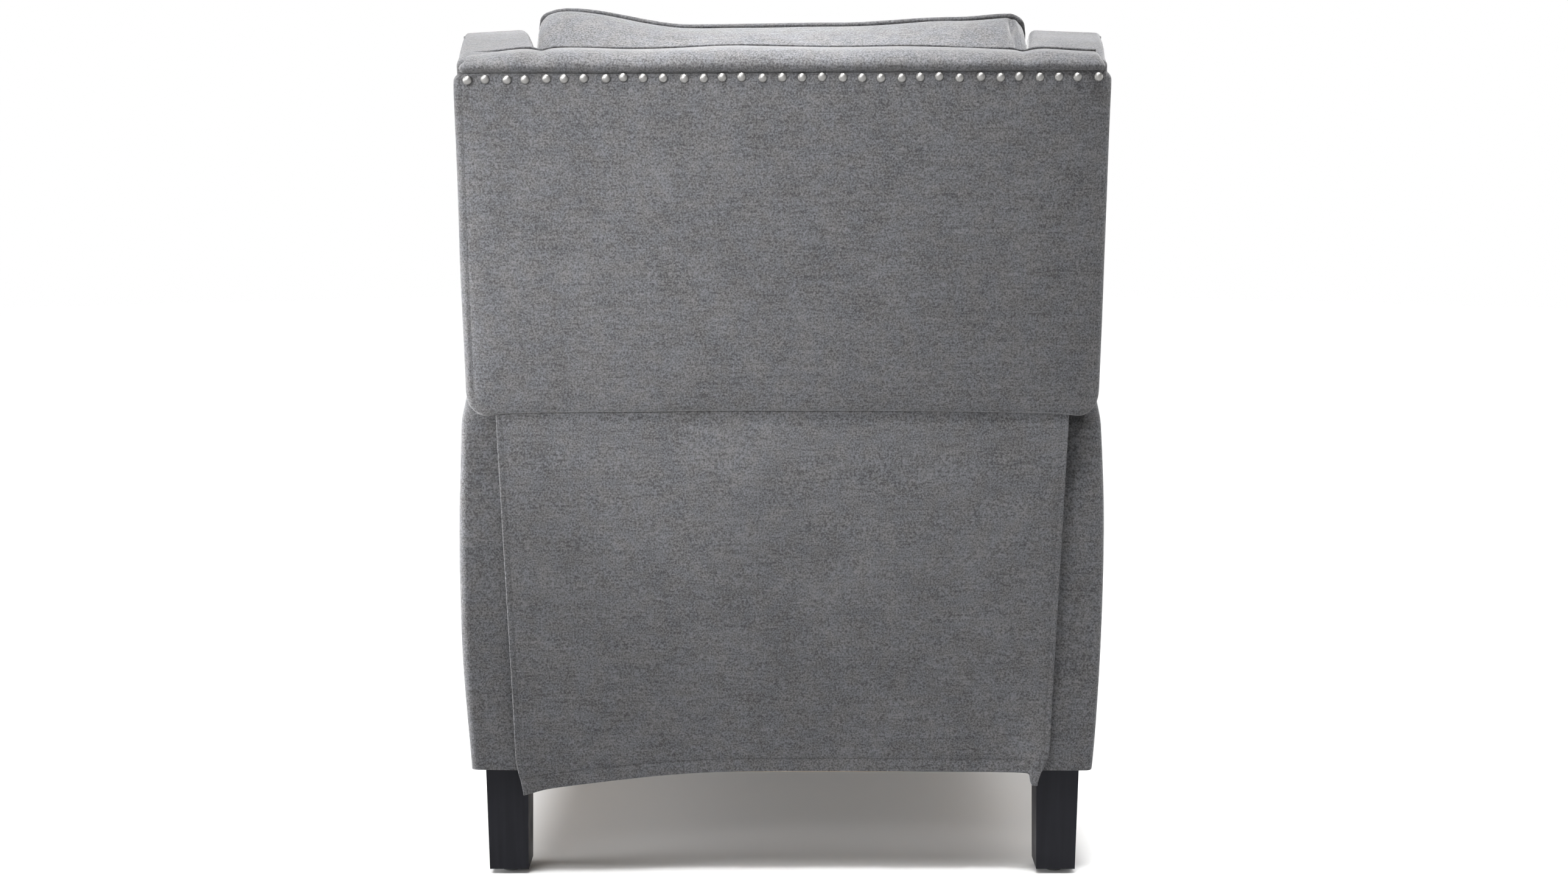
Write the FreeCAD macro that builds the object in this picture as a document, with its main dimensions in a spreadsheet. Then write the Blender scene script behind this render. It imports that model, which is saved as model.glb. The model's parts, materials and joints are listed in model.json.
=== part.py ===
import FreeCAD, Part
import math
import os
import Sketcher
from FreeCAD import Placement, Rotation, Vector

# A winged pushback recliner, in millimetres. The chair faces -Y, +Z is up and +X is the sitter's left.
# Pushing the back down swings it on the base, draws the seat forward and opens the legrest.

SIZES = {
    # feet
    "glide_height": 6,
    "glide_diameter": 22,
    "leg_height": 124,
    "leg_top": 50,
    "leg_foot": 46,
    "bolt_diameter": 8,
    "bolt_reach": 55,
    # arms
    "arm_pad": 10,
    "panel_thick": 18,
    "post_width": 54,
    "post_depth": 50,
    "side_pad": 12,
    "side_bulge": 9,
    "arm_back": 330,
    "arm_front": 418,
    "rear_pad": 12,
    "front_pad": 18,
    "arm_top": 612,
    "top_pad": 18,
    "arm_round": 22,
    "hem_drop": 3,
    "shoulder": 545,
    "slant_run": 95,
    "slant_pad": 8,
    "pad_low": 400,
    "pad_rear": 190,
    "front_return": 100,
    "arm_board": 18,
    "sill_height": 45,
    # base rails
    "rail_thick": 25,
    "rail_height": 70,
    "cross_rail_y": 40,
    # mechanism plates and pins
    "plate": 4,
    "layer_gap": 1,
    "track_gap": 3,
    "plate_edge": 18,
    "bar_width": 20,
    "pin": 8,
    "pin_head": 14,
    "head_rise": 1.5,
    "running_fit": 0.05,
    "snug_fit": 0.02,
    # pivots
    "pivot_y": 270,
    "pivot_z": 520,
    "lever": 195,
    "recline": 30,
    "roller_y": 150,
    "roller": 18,
    "roller_play": 0.3,
    "link_y": 285,
    "link_z": 325,
    "swing_y": 420,
    "swing_z": 424,
    "toe_y": 345,
    "toe_z": 290,
    "rear_offset": 60,
    "toe_drop": 61,
    "tail": 40,
    "drive_y": 289.3,
    "drive_z": 287,
    "drive_play": 2,
    "tube": 16,
    "tube_place": 107,
    # seat
    "seat_rail_low": 290,
    "seat_rail_height": 70,
    "seat_rail_thick": 25,
    "seat_front": 335,
    "seat_rear": 215,
    "spring_wire": 3.8,
    "spring_reach": 24,
    "spring_rows": 22,
    "spring_wires": 5,
    "spring_spread": 90,
    "seat_side_gap": 4,
    "cushion_nose": 440,
    "cushion_rear": 200,
    "cushion_height": 136,
    "cushion_corner": 34,
    "soft_gap": 0.4,
    # legrest
    "board_back": 360,
    "board_thick": 18,
    "pad_thick": 42,
    "legrest_low": 135,
    "legrest_high": 352,
    "legrest_side_gap": 6,
    "legrest_corner": 16,
    # back
    "back_y": 362,
    "back_z": 554,
    "lean": 11,
    "back_thick": 24,
    "back_height": 390,
    "back_half_low": 355,
    "back_half_high": 348,
    "back_corner": 26,
    "post_face": 30,
    "post_drop": 195,
    "back_rail_deep": 25,
    "back_rail_high": 55,
    "mid_rail_low": 10,
    "back_rows": 15,
    "back_wires": 4,
    "roll_deep": 52,
    "roll_rise": 22,
    "cushion_half": 262,
    "cushion_side_gap": 8,
    "cushion_drop": 73,
    "cushion_rise": 44,
    "cushion_dip": 15,
    "cushion_thick": 140,
    "back_cushion_corner": 40,
    "wing_gap": 2,
    "wing_flare": 24,
    "wing_depth": 203,
    "wing_head": 150,
    "wing_rise": 17,
    "wing_crown": 11,
    "wing_half": 350,
    "wing_clear": 9,
    "wing_core": 15,
    "nail_head": 10,
    "nail_rise": 3.2,
    "nail_inset": 5.5,
    "nail_span": 339,
    "nail_count": 33,
    # flap
    "flap_thick": 2.5,
    "flap_half_high": 326,
    "flap_half_low": 311,
    "flap_lean": 2,
    "flap_ear_left": 21,
    "flap_ear_right": 15,
    "flap_edge": 6,
}


class Size:
    """A length with its number and the spreadsheet expression that drives it."""

    def __init__(self, number, text):
        self.number = number
        self.text = text

    def joined(self, sign, other, number):
        return Size(number, f"({self.text} {sign} {size(other).text})")

    def __add__(self, other):
        return self.joined("+", other, self.number + size(other).number)

    def __radd__(self, other):
        return size(other) + self

    def __sub__(self, other):
        return self.joined("-", other, self.number - size(other).number)

    def __rsub__(self, other):
        return size(other) - self

    def __mul__(self, other):
        return self.joined("*", other, self.number * size(other).number)

    def __rmul__(self, other):
        return size(other) * self

    def __truediv__(self, other):
        return self.joined("/", other, self.number / size(other).number)

    def __rtruediv__(self, other):
        return size(other) / self

    def __neg__(self):
        return Size(-self.number, f"(0 - {self.text})")


def size(value):
    return value if isinstance(value, Size) else Size(float(value), f"({float(value)!r})")


def length(point):
    y, z = size(point[0]), size(point[1])
    return Size(math.hypot(y.number, z.number), f"hypot({y.text}; {z.text})")


def plus(a, b):
    return (a[0] + b[0], a[1] + b[1])


def minus(a, b):
    return (a[0] - b[0], a[1] - b[1])


def along(point, direction, distance):
    """The point at a distance from another in a direction."""
    share = distance / length(direction)
    return (point[0] + direction[0] * share, point[1] + direction[1] * share)


doc = FreeCAD.newDocument("pushback_recliner")
sheet = doc.addObject("Spreadsheet::Sheet", "Sizes")
for row, (alias, value) in enumerate(SIZES.items(), start=1):
    sheet.set(f"A{row}", alias.replace("_", " "))
    sheet.set(f"B{row}", str(value))
    sheet.setAlias(f"B{row}", alias)
doc.recompute()


class Named:
    """The spreadsheet's cells as sizes, by alias."""

    def __getattr__(self, alias):
        return Size(float(SIZES[alias]), f"Sizes.{alias}")


s = Named()
nodes = []


def keep(item, label):
    item.Label = label
    nodes.append(item)
    return item


def bind(item, path, value):
    item.setExpression(path, size(value).text)


def put(item, x=0, y=0, z=0, axis=None, angle=0):
    """Place an object, turned about an axis, with each coordinate bound to its size."""
    turn = Rotation(Vector(*axis), size(angle).number) if axis else Rotation()
    item.Placement = Placement(Vector(size(x).number, size(y).number, size(z).number), turn)
    for letter, value in (("x", x), ("y", y), ("z", z)):
        if isinstance(value, Size):
            bind(item, f"Placement.Base.{letter}", value)
    if isinstance(angle, Size):
        bind(item, "Placement.Rotation.Angle", angle)
    return item


def leaned(item, x=0):
    """Stand a piece of the back on the lower edge of the outside back, tilted to its lean."""
    return put(item, x, s.back_y, s.back_z, (-1, 0, 0), s.lean)


def draw(body, role, corners, bulges=None, holes=(), offset=None):
    """A closed outline through corners, each side straight or an arc of a given rise, with round holes."""
    sketch = body.newObject("Sketcher::SketchObject", f"{body.Name}_sketch")
    plane = next(p for p in body.Origin.OriginFeatures if p.Role == role)
    sketch.AttachmentSupport = [(plane, "")]
    sketch.MapMode = "FlatFace"
    if offset is not None:
        sketch.AttachmentOffset = Placement(Vector(0, 0, size(offset).number), Rotation())
        if isinstance(offset, Size):
            bind(sketch, "AttachmentOffset.Base.z", offset)
    points = [(size(a), size(b)) for a, b in corners]
    rises = [size(r) for r in bulges] if bulges else [size(0)] * len(points)
    ends = []
    for first, last, rise in zip(points, points[1:] + points[:1], rises):
        start = Vector(first[0].number, first[1].number, 0)
        stop = Vector(last[0].number, last[1].number, 0)
        chord = stop - start
        if rise.number == 0:
            ends.append((sketch.addGeometry(Part.LineSegment(start, stop)), 1, 2))
            continue
        radius = (chord.Length**2 / 4 + rise.number**2) / (2 * abs(rise.number))
        left = Vector(-chord.y, chord.x, 0).normalize()
        outward = 1 if rise.number > 0 else -1
        centre = (start + stop) / 2 + left * outward * (radius - abs(rise.number))
        sweep = (start, stop) if outward > 0 else (stop, start)
        angles = [math.atan2(p.y - centre.y, p.x - centre.x) for p in sweep]
        if angles[1] < angles[0]:
            angles[1] += 2 * math.pi
        arc = Part.ArcOfCircle(Part.Circle(centre, Vector(0, 0, 1), radius), *angles)
        ends.append((sketch.addGeometry(arc), 1, 2) if outward > 0 else (sketch.addGeometry(arc), 2, 1))
    for here, after in zip(ends, ends[1:] + ends[:1]):
        sketch.addConstraint(Sketcher.Constraint("Coincident", here[0], here[2], after[0], after[1]))
    for (geometry, start, _), point in zip(ends, points):
        for kind, value in zip(("DistanceX", "DistanceY"), point):
            index = sketch.addConstraint(Sketcher.Constraint(kind, -1, 1, geometry, start, value.number))
            bind(sketch, f"Constraints[{index}]", value)
    for (geometry, _, _), rise, first, last in zip(ends, rises, points, points[1:] + points[:1]):
        if rise.number == 0:
            continue
        half = length(minus(last, first)) / 2
        up = rise if rise.number > 0 else -rise
        radius = (half * half + up * up) / (2 * up)
        index = sketch.addConstraint(Sketcher.Constraint("Radius", geometry, radius.number))
        bind(sketch, f"Constraints[{index}]", radius)
    for (a, b), radius in holes:
        a, b, radius = size(a), size(b), size(radius)
        circle = Part.Circle(Vector(a.number, b.number, 0), Vector(0, 0, 1), radius.number)
        geometry = sketch.addGeometry(circle)
        for kind, value in (("DistanceX", a), ("DistanceY", b)):
            index = sketch.addConstraint(Sketcher.Constraint(kind, -1, 1, geometry, 3, value.number))
            bind(sketch, f"Constraints[{index}]", value)
        index = sketch.addConstraint(Sketcher.Constraint("Radius", geometry, radius.number))
        bind(sketch, f"Constraints[{index}]", radius)
    return sketch


def padded(name, role, depth, corners, bulges=None, holes=()):
    """A body padded from one outline, along the plane's normal."""
    body = doc.addObject("PartDesign::Body", name)
    pad = body.newObject("PartDesign::Pad", f"{name}_pad")
    pad.Profile = draw(body, role, corners, bulges, holes)
    body.Tip = pad
    bind(pad, "Length", depth)
    return body


def span(side, x_from, x_to):
    """An X range on the left side, or its mirror image on the right."""
    return (x_from, x_to) if side == "left" else (-x_to, -x_from)


def slab(name, x_from, x_to, corners, bulges=None, holes=()):
    """A side profile in Y and Z padded across X."""
    x_from, x_to = size(x_from), size(x_to)
    return put(padded(name, "YZ_Plane", x_to - x_from, corners, bulges, holes), x=x_from)


def box(name, x_from, x_to, y_from, y_to, z_from, z_to):
    block = doc.addObject("Part::Box", name)
    for path, low, high in (("Length", x_from, x_to), ("Width", y_from, y_to), ("Height", z_from, z_to)):
        bind(block, path, size(high) - low)
    return put(block, size(x_from), size(y_from), size(z_from))


def rod(name, point, x_from, x_to, diameter):
    """A round bar across X."""
    bar = doc.addObject("Part::Cylinder", name)
    bind(bar, "Radius", size(diameter) / 2)
    bind(bar, "Height", size(x_to) - x_from)
    return put(bar, size(x_from), size(point[0]), size(point[1]), (0, 1, 0), 90)


def upright(name, x, y, z_from, z_to, diameter):
    bar = doc.addObject("Part::Cylinder", name)
    bind(bar, "Radius", size(diameter) / 2)
    bind(bar, "Height", size(z_to) - z_from)
    return put(bar, size(x), size(y), size(z_from))


def fused(name, pieces):
    whole = doc.addObject("Part::MultiFuse", name)
    whole.Shapes = pieces
    return whole


def less(name, base, tool):
    rest = doc.addObject("Part::Cut", name)
    rest.Base = base
    rest.Tool = tool
    return rest


def group(name, pieces):
    whole = doc.addObject("Part::Compound", name)
    whole.Links = pieces
    return whole


def mirrored(name, source):
    copy = doc.addObject("Part::Mirroring", name)
    copy.Source = source
    copy.Normal = Vector(1, 0, 0)
    return copy


def bar(name, x_from, x_to, first, last, holes):
    """A flat link with round ends about its first and last pivot."""
    direction = minus(last, first)
    reach = length(direction)
    half = s.bar_width / 2
    side = (direction[1] / reach * half, -direction[0] / reach * half)
    tips = (along(first, direction, -half), along(last, direction, half))
    corners = (plus(first, side), plus(last, side), tips[1], minus(last, side), minus(first, side), tips[0])
    rise = half * (1 - math.sqrt(0.5))
    return slab(name, x_from, x_to, corners, (0, rise, rise, 0, rise, rise), holes)


def rounded(half, low, high, corner):
    """The corners and rises of a rounded rectangle, symmetric about its upright axis."""
    half, low, high, corner = size(half), size(low), size(high), size(corner)
    inner = half - corner
    corners = (
        (-inner, low), (inner, low), (half, low + corner), (half, high - corner),
        (inner, high), (-inner, high), (-half, high - corner), (-half, low + corner),
    )
    rise = corner * (1 - math.sqrt(0.5))
    return corners, (0, rise, 0, rise, 0, rise, 0, rise)


def lofted(name, role, sections):
    """A soft body through outlines, each an offset, its corners and its rises."""
    body = doc.addObject("PartDesign::Body", name)
    sketches = [draw(body, role, corners, rises, offset=offset) for offset, (corners, rises) in sections]
    loft = body.newObject("PartDesign::AdditiveLoft", f"{name}_loft")
    loft.Profile = sketches[0]
    loft.Sections = sketches[1:]
    body.Tip = loft
    return body


def zigzag(rows, pitch, reach, wire):
    """One sinuous spring wire in the XY plane, its rows stepping along Y from the origin."""
    turn = pitch / 2
    straight = reach - turn
    edges = []
    for row in range(rows):
        way = 1 if row % 2 == 0 else -1
        y = row * pitch
        end = Vector(way * straight, y, 0)
        edges.append(Part.LineSegment(Vector(-way * straight, y, 0), end).toShape())
        if row == rows - 1:
            continue
        middle = end + Vector(0, turn, 0)
        slope = turn * math.sqrt(0.5)
        near, tip, far = (middle + Vector(way * slope, -slope, 0), middle + Vector(way * turn, 0, 0),
                          middle + Vector(way * slope, slope, 0))
        edges.append(Part.Arc(end, near, tip).toShape())
        edges.append(Part.Arc(tip, far, end + Vector(0, pitch, 0)).toShape())
    circle = Part.makeCircle(wire / 2, Vector(-straight, 0, 0), Vector(1, 0, 0))
    pipe = Part.BRepOffsetAPI.MakePipeShell(Part.Wire(edges))
    pipe.add(Part.Wire(circle))
    pipe.build()
    pipe.makeSolid()
    return pipe.shape()


# Levels shared by the pieces, from the floor up, from the middle out and from front to rear.
half_gap = s.cushion_half + s.cushion_side_gap
panel_in = half_gap + s.arm_pad
panel_out = panel_in + s.panel_thick
post_out = panel_out + s.post_width
cover_out = post_out + s.side_pad
frame_low = s.glide_height + s.leg_height
hem = frame_low - s.hem_drop
frame_top = s.arm_top - s.top_pad
frame_rear = s.arm_back - s.rear_pad
frame_front = s.front_pad - s.arm_front
crest = s.arm_back - s.slant_run

# Steel layers on the left side, from the arm panel inwards.
track_in = panel_in - s.plate
drive_out = track_in - s.track_gap
drive_in = drive_out - s.plate
carry_out = drive_in - s.layer_gap
carry_in = carry_out - s.plate
link_out = carry_in - s.layer_gap
link_in = link_out - s.plate
rail_out = link_in - s.layer_gap
rail_in = rail_out - s.plate
lever_in = s.cushion_half + s.layer_gap
lever_out = lever_in + s.plate

# Pivots in Y and Z with the chair upright. The legrest links are two parallelograms.
back_pivot = (s.pivot_y, s.pivot_z)
hanger = (s.pivot_y, s.pivot_z - s.lever)
roller_rest = (-s.roller_y, s.pivot_z - s.lever)
front_pivot = (-s.link_y, s.link_z)
swing_centre = (-s.swing_y, s.swing_z)
carrier_toe = (-s.toe_y, s.toe_z)
arm_vector = minus(carrier_toe, swing_centre)
carrier_vector = minus(swing_centre, front_pivot)
carrier_mid = plus(front_pivot, arm_vector)
rear_pivot = along(front_pivot, carrier_vector, -s.rear_offset)
carrier_heel = plus(rear_pivot, arm_vector)
toe_heel = along(carrier_mid, arm_vector, s.toe_drop)
toe_tip = along(carrier_toe, arm_vector, s.toe_drop)
drive_tip = along(rear_pivot, arm_vector, -s.tail)
drive_pivot = (-s.drive_y, s.drive_z)
bore = s.pin / 2 + s.running_fit
snug = s.pin / 2 + s.snug_fit

SIDES = ("left", "right")


def rivets(label, points, x_from, x_to, head_inside):
    """Pins on both sides through the same points, each with a head on one end."""
    pieces = []
    for side in SIDES:
        for point in points:
            shank = rod(f"{label}_shank", point, *span(side, x_from, x_to), s.pin)
            low, high = (x_from - s.head_rise, x_from) if head_inside else (x_to, x_to + s.head_rise)
            head = rod(f"{label}_head", point, *span(side, low, high), s.pin_head)
            pieces.append(fused(f"{label}_pin", [shank, head]))
    return keep(group(label, pieces), label)


def both(label, make):
    """A left and a right piece kept as one sub-part."""
    return keep(group(label, [make(side) for side in SIDES]), label)


# Base: two upholstered arms on legs, tied by two rails.
leg_x = (panel_out + post_out) / 2
leg_rear = frame_rear - s.post_depth / 2
leg_front = frame_front + s.post_depth / 2
bolt_bore = s.bolt_diameter + 2 * s.snug_fit
leg_spots = {
    "leg_rear_left": (leg_x, leg_rear),
    "leg_rear_right": (-leg_x, leg_rear),
    "leg_front_left": (leg_x, leg_front),
    "leg_front_right": (-leg_x, leg_front),
}
glides = []
bolts = []
for label, (x, y) in leg_spots.items():
    taper = doc.addObject("Part::Wedge", f"{label}_taper")
    for axis in ("X", "Z"):
        bind(taper, f"{axis}min", -s.leg_foot / 2)
        bind(taper, f"{axis}max", s.leg_foot / 2)
        bind(taper, f"{axis}2min", -s.leg_top / 2)
        bind(taper, f"{axis}2max", s.leg_top / 2)
    bind(taper, "Ymin", size(0))
    bind(taper, "Ymax", s.leg_height)
    put(taper, x, y, s.glide_height, (1, 0, 0), 90)
    socket = upright(f"{label}_socket", x, y, frame_low - s.bolt_reach, frame_low + s.bolt_reach, bolt_bore)
    keep(less(label, taper, socket), label)
    glides.append(upright(f"{label}_glide", x, y, 0, s.glide_height, s.glide_diameter))
    bolts.append(upright(f"{label}_bolt", x, y, frame_low - s.bolt_reach, frame_low + s.bolt_reach,
                         s.bolt_diameter))
keep(group("leg_glides", glides), "leg_glides")
keep(group("leg_bolts", bolts), "leg_bolts")

inner_side = (
    (frame_rear, frame_low), (frame_rear, s.shoulder - s.slant_pad),
    (crest - s.slant_pad, frame_top), (frame_front, frame_top), (frame_front, frame_low),
)
outer_side = (
    (s.arm_back, hem), (s.arm_back, s.shoulder), (crest, s.arm_top),
    (-s.arm_front, s.arm_top), (-s.arm_front, hem),
)
for side in SIDES:
    keep(slab(f"arm_panel_{side}", *span(side, panel_in, panel_out), inner_side), f"arm_panel_{side}")
    across = span(side, panel_out, post_out)
    posts = []
    for end, y_mid, top in (("rear", leg_rear, s.shoulder - s.slant_pad), ("front", leg_front, frame_top)):
        post = box(f"arm_post_{end}", *across, y_mid - s.post_depth / 2, y_mid + s.post_depth / 2, frame_low, top)
        hole = upright(f"arm_post_{end}_bore", leg_x if side == "left" else -leg_x, y_mid,
                       frame_low - s.bolt_reach, frame_low + s.bolt_reach, bolt_bore)
        posts.append(less(f"arm_post_{end}_bored", post, hole))
    front_inside = leg_front + s.post_depth / 2
    posts.append(box("arm_sill", *across, front_inside, leg_rear - s.post_depth / 2, frame_low,
                     frame_low + s.sill_height))
    posts.append(box("arm_top_board", *across, front_inside, crest - s.slant_pad, frame_top - s.arm_board,
                     frame_top))
    keep(group(f"arm_framing_{side}", posts), f"arm_framing_{side}")

arm_round_rise = s.arm_round * (1 - math.sqrt(0.5))
section = padded(
    "arm_section", "XZ_Plane", s.arm_back + s.arm_front,
    ((half_gap, hem), (cover_out, hem), (cover_out, s.arm_top - s.arm_round),
     (cover_out - s.arm_round, s.arm_top), (half_gap + s.arm_round, s.arm_top),
     (half_gap, s.arm_top - s.arm_round)),
    (0, s.side_bulge, arm_round_rise, 0, arm_round_rise, 0),
)
put(section, y=s.arm_back)
side_shape = slab("arm_side", half_gap - s.arm_pad, cover_out + 2 * s.side_bulge, outer_side)
arm_mass = doc.addObject("Part::Common", "arm_mass")
arm_mass.Base = section
arm_mass.Tool = side_shape
hollow_side = (
    (frame_rear, hem - s.arm_pad), (frame_rear, s.shoulder - s.slant_pad),
    (crest - s.slant_pad, frame_top), (frame_front, frame_top), (frame_front, hem - s.arm_pad),
)
hollow = slab("arm_hollow", panel_in, post_out, hollow_side)
work_space = box("arm_work_space", half_gap - s.arm_pad, panel_in, s.front_return - s.arm_front,
                 s.arm_back + s.arm_pad, hem - s.arm_pad, s.pad_low)
rear_space = box("arm_rear_space", half_gap - s.arm_pad, panel_in, s.pad_rear, s.arm_back + s.arm_pad,
                 s.pad_low - s.arm_pad, s.arm_top + s.arm_pad)
cover = keep(less("arm_cover_left", arm_mass, fused("arm_inside", [hollow, work_space, rear_space])),
             "arm_cover_left")
keep(mirrored("arm_cover_right", cover), "arm_cover_right")

keep(box("base_rear_rail", -panel_in, panel_in, s.arm_back - s.rail_thick, s.arm_back, frame_low,
         frame_low + s.rail_height), "base_rear_rail")
keep(box("base_cross_rail", -panel_in, panel_in, -s.cross_rail_y - s.rail_thick, -s.cross_rail_y, frame_low,
         frame_low + s.rail_height), "base_cross_rail")

# Track plates: each carries the back pivot, the roller's arc slot and the drive link's stud.
slot_width = s.roller + 2 * s.roller_play
track_low = drive_pivot[1] - s.plate_edge
track_high = roller_rest[1] + s.plate_edge + s.lever * (1 - math.cos(math.radians(SIZES["recline"]))) + s.roller
track_side = (
    (s.pivot_y + s.plate_edge, track_low), (s.pivot_y + s.plate_edge, s.pivot_z + s.plate_edge),
    (s.pivot_y - s.plate_edge, s.pivot_z + s.plate_edge), (s.pivot_y - s.plate_edge, track_high),
    (-s.drive_y - s.plate_edge, track_high), (-s.drive_y - s.plate_edge, track_low),
)
for side in SIDES:
    across = span(side, track_in, panel_in)
    plate = slab(f"track_blank_{side}", *across, track_side, holes=[(back_pivot, snug)])
    ring = doc.addObject("Part::Cylinder", f"track_ring_{side}")
    core = doc.addObject("Part::Cylinder", f"track_core_{side}")
    wide = span(side, track_in - s.plate, panel_in + s.plate)
    for sector, radius in ((ring, s.lever + slot_width / 2), (core, s.lever - slot_width / 2)):
        bind(sector, "Radius", radius)
        bind(sector, "Height", 3 * s.plate)
        bind(sector, "Angle", s.recline)
        turn = Rotation(Vector(0, 0, -1), Vector(0, -1, 0), Vector(-1, 0, 0), "ZXY")
        sector.Placement = Placement(Vector(wide[1].number, -SIZES["roller_y"], SIZES["pivot_z"]), turn)
        bind(sector, "Placement.Base.x", wide[1])
        bind(sector, "Placement.Base.y", -s.roller_y)
        bind(sector, "Placement.Base.z", s.pivot_z)
    turned = math.radians(SIZES["recline"])
    roller_end = (roller_rest[0] - s.lever * math.sin(turned), s.pivot_z - s.lever * math.cos(turned))
    slot_ends = [rod(f"track_end_{side}", spot, *wide, slot_width) for spot in (roller_rest, roller_end)]
    arc = less(f"track_arc_{side}", ring, core)
    slotted = less(f"track_slotted_{side}", plate, fused(f"track_slot_{side}", [arc] + slot_ends))
    stud = rod(f"track_stud_{side}", drive_pivot, *span(side, drive_in, panel_in), s.pin)
    keep(fused(f"track_plate_{side}", [slotted, stud]), f"track_plate_{side}")

both("back_pivot_bolts", lambda side: rod("back_pivot_bolt", back_pivot, *span(side, lever_in, panel_in), s.pin))
both("back_pivot_spacers", lambda side: less(
    "back_pivot_spacer",
    rod("spacer_outside", back_pivot, *span(side, lever_out + s.layer_gap / 2, track_in), s.pin_head),
    rod("spacer_inside", back_pivot, *span(side, lever_out, panel_in), 2 * snug),
))

# Rear flap: a hanging cloth from the lower edge of the back to the foot of the base.
lean_slope = math.tan(math.radians(SIZES["lean"]))
flap_turn = math.radians(SIZES["flap_lean"])
flap_foot = s.arm_back + s.soft_gap + s.flap_thick
flap_high = ((s.back_z - hem - s.soft_gap + (s.back_y - flap_foot) * lean_slope)
             / (math.cos(flap_turn) + math.sin(flap_turn) * lean_slope))
flap = padded(
    "rear_flap", "XZ_Plane", s.flap_thick,
    ((-s.flap_half_low, s.flap_edge - s.flap_ear_right), (-s.flap_half_low + 3 * s.flap_edge, -s.flap_ear_right),
     (s.flap_half_low - 3 * s.flap_edge, -s.flap_ear_left), (s.flap_half_low, s.flap_edge - s.flap_ear_left),
     (s.flap_half_high, flap_high), (-s.flap_half_high, flap_high)),
    (0, -s.flap_ear_left, 0, 0, 0, 0),
)
put(flap, y=flap_foot, z=hem, axis=(-1, 0, 0), angle=s.flap_lean)
keep(flap, "rear_flap")

# Back: a leaning frame with the outside back, wings, springs and cushion. N is the depth from its outer face.
rear_n = s.back_thick
rail_face = rear_n + s.back_rail_deep
post_front = rail_face + s.spring_wire
post_in = lever_in - s.post_face
for side in SIDES:
    post = padded(f"back_post_{side}", "YZ_Plane", s.post_face,
                  ((-post_front, -s.post_drop), (-rear_n, -s.post_drop),
                   (-rear_n, s.back_height), (-post_front, s.back_height)))
    keep(leaned(post, span(side, post_in, lever_in)[0]), f"back_post_{side}")
back_rails = {
    "back_top_rail": s.back_height - s.back_rail_high,
    "back_mid_rail": s.mid_rail_low,
    "back_low_rail": -s.post_drop,
}
for label, low in back_rails.items():
    rail = padded(label, "YZ_Plane", 2 * post_in,
                  ((-rail_face, low), (-rear_n, low), (-rear_n, low + s.back_rail_high),
                   (-rail_face, low + s.back_rail_high)))
    keep(leaned(rail, -post_in), label)

corner_rise = s.back_corner * (1 - math.sqrt(0.5))
outside = padded(
    "outside_back", "XZ_Plane", s.back_thick,
    ((-s.back_half_low + s.back_corner, 0), (s.back_half_low - s.back_corner, 0),
     (s.back_half_low, s.back_corner), (s.back_half_high, s.back_height),
     (-s.back_half_high, s.back_height), (-s.back_half_low, s.back_corner)),
    (0, corner_rise, 0, 0, 0, corner_rise),
)
keep(leaned(outside), "outside_back")

roll_half = s.cushion_half
roll = padded("back_top_roll", "YZ_Plane", 2 * roll_half,
              ((0, s.back_height), (0, s.back_height + s.roll_rise / 2),
               (-s.roll_deep, s.back_height + s.roll_rise / 2), (-s.roll_deep, s.back_height)),
              (0, s.roll_rise / 2, 0, 0))
keep(leaned(roll, -roll_half), "back_top_roll")

# Wings: each rests on the outside back and clears the slanted shoulder of its arm.
wing_in = s.cushion_half + s.wing_gap
wing_top = s.back_height + s.wing_rise
lean_angle = math.radians(SIZES["lean"])


def in_lean(y, z):
    """A point of the side view in the leaning frame of the back."""
    dy, dz = y - s.back_y, z - s.back_z
    cosine, sine = math.cos(lean_angle), math.sin(lean_angle)
    return (dy * cosine - dz * sine, dy * sine + dz * cosine)


shoulder_spot = in_lean(s.arm_back, s.shoulder)
crest_spot = in_lean(crest, s.arm_top)
chin_spot = in_lean(s.back_y - s.wing_depth, s.arm_top + s.wing_clear)
wing_side = (
    (-rear_n, s.back_height), (-rear_n, shoulder_spot[1] + s.wing_clear + 2 * s.wing_gap),
    (crest_spot[0], crest_spot[1] + s.wing_clear), chin_spot, (-s.wing_head, wing_top),
    (-rear_n, wing_top + s.wing_crown), (0, wing_top), (0, s.back_height),
)
core_side = (
    (-rear_n, 0.5 * s.back_rail_high), (-rear_n, s.back_height - s.wing_core),
    (-s.wing_head + s.wing_core, s.back_height - s.wing_core), (-s.wing_head, 1.5 * s.back_rail_high),
)
core_in = (wing_in + s.wing_half) / 2
wing_block = padded("wing_block", "YZ_Plane", s.wing_half - wing_in, wing_side)
put(wing_block, x=wing_in)
flare = doc.addObject("Part::Wedge", "wing_flare")
for path, value in (("Xmin", -s.wing_flare), ("Xmax", size(0)), ("X2min", -s.wing_flare), ("X2max", s.wing_flare),
                    ("Zmin", -s.back_height), ("Zmax", 2 * s.back_height), ("Z2min", -s.back_height),
                    ("Z2max", 2 * s.back_height), ("Ymin", size(0)), ("Ymax", s.wing_depth)):
    bind(flare, path, value)
flare.Placement = Placement(Vector(wing_in.number, -rear_n.number, 0), Rotation(Vector(1, 0, 0), 180))
bind(flare, "Placement.Base.x", wing_in)
bind(flare, "Placement.Base.y", -rear_n)
core_slot = put(padded("wing_core_slot", "YZ_Plane", s.wing_core, core_side), x=core_in)
wing = less("wing_upright", wing_block, fused("wing_inside", [flare, core_slot]))
wing_left = keep(leaned(group("wing_left", [wing])), "wing_left")
keep(mirrored("wing_right", wing_left), "wing_right")
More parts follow.
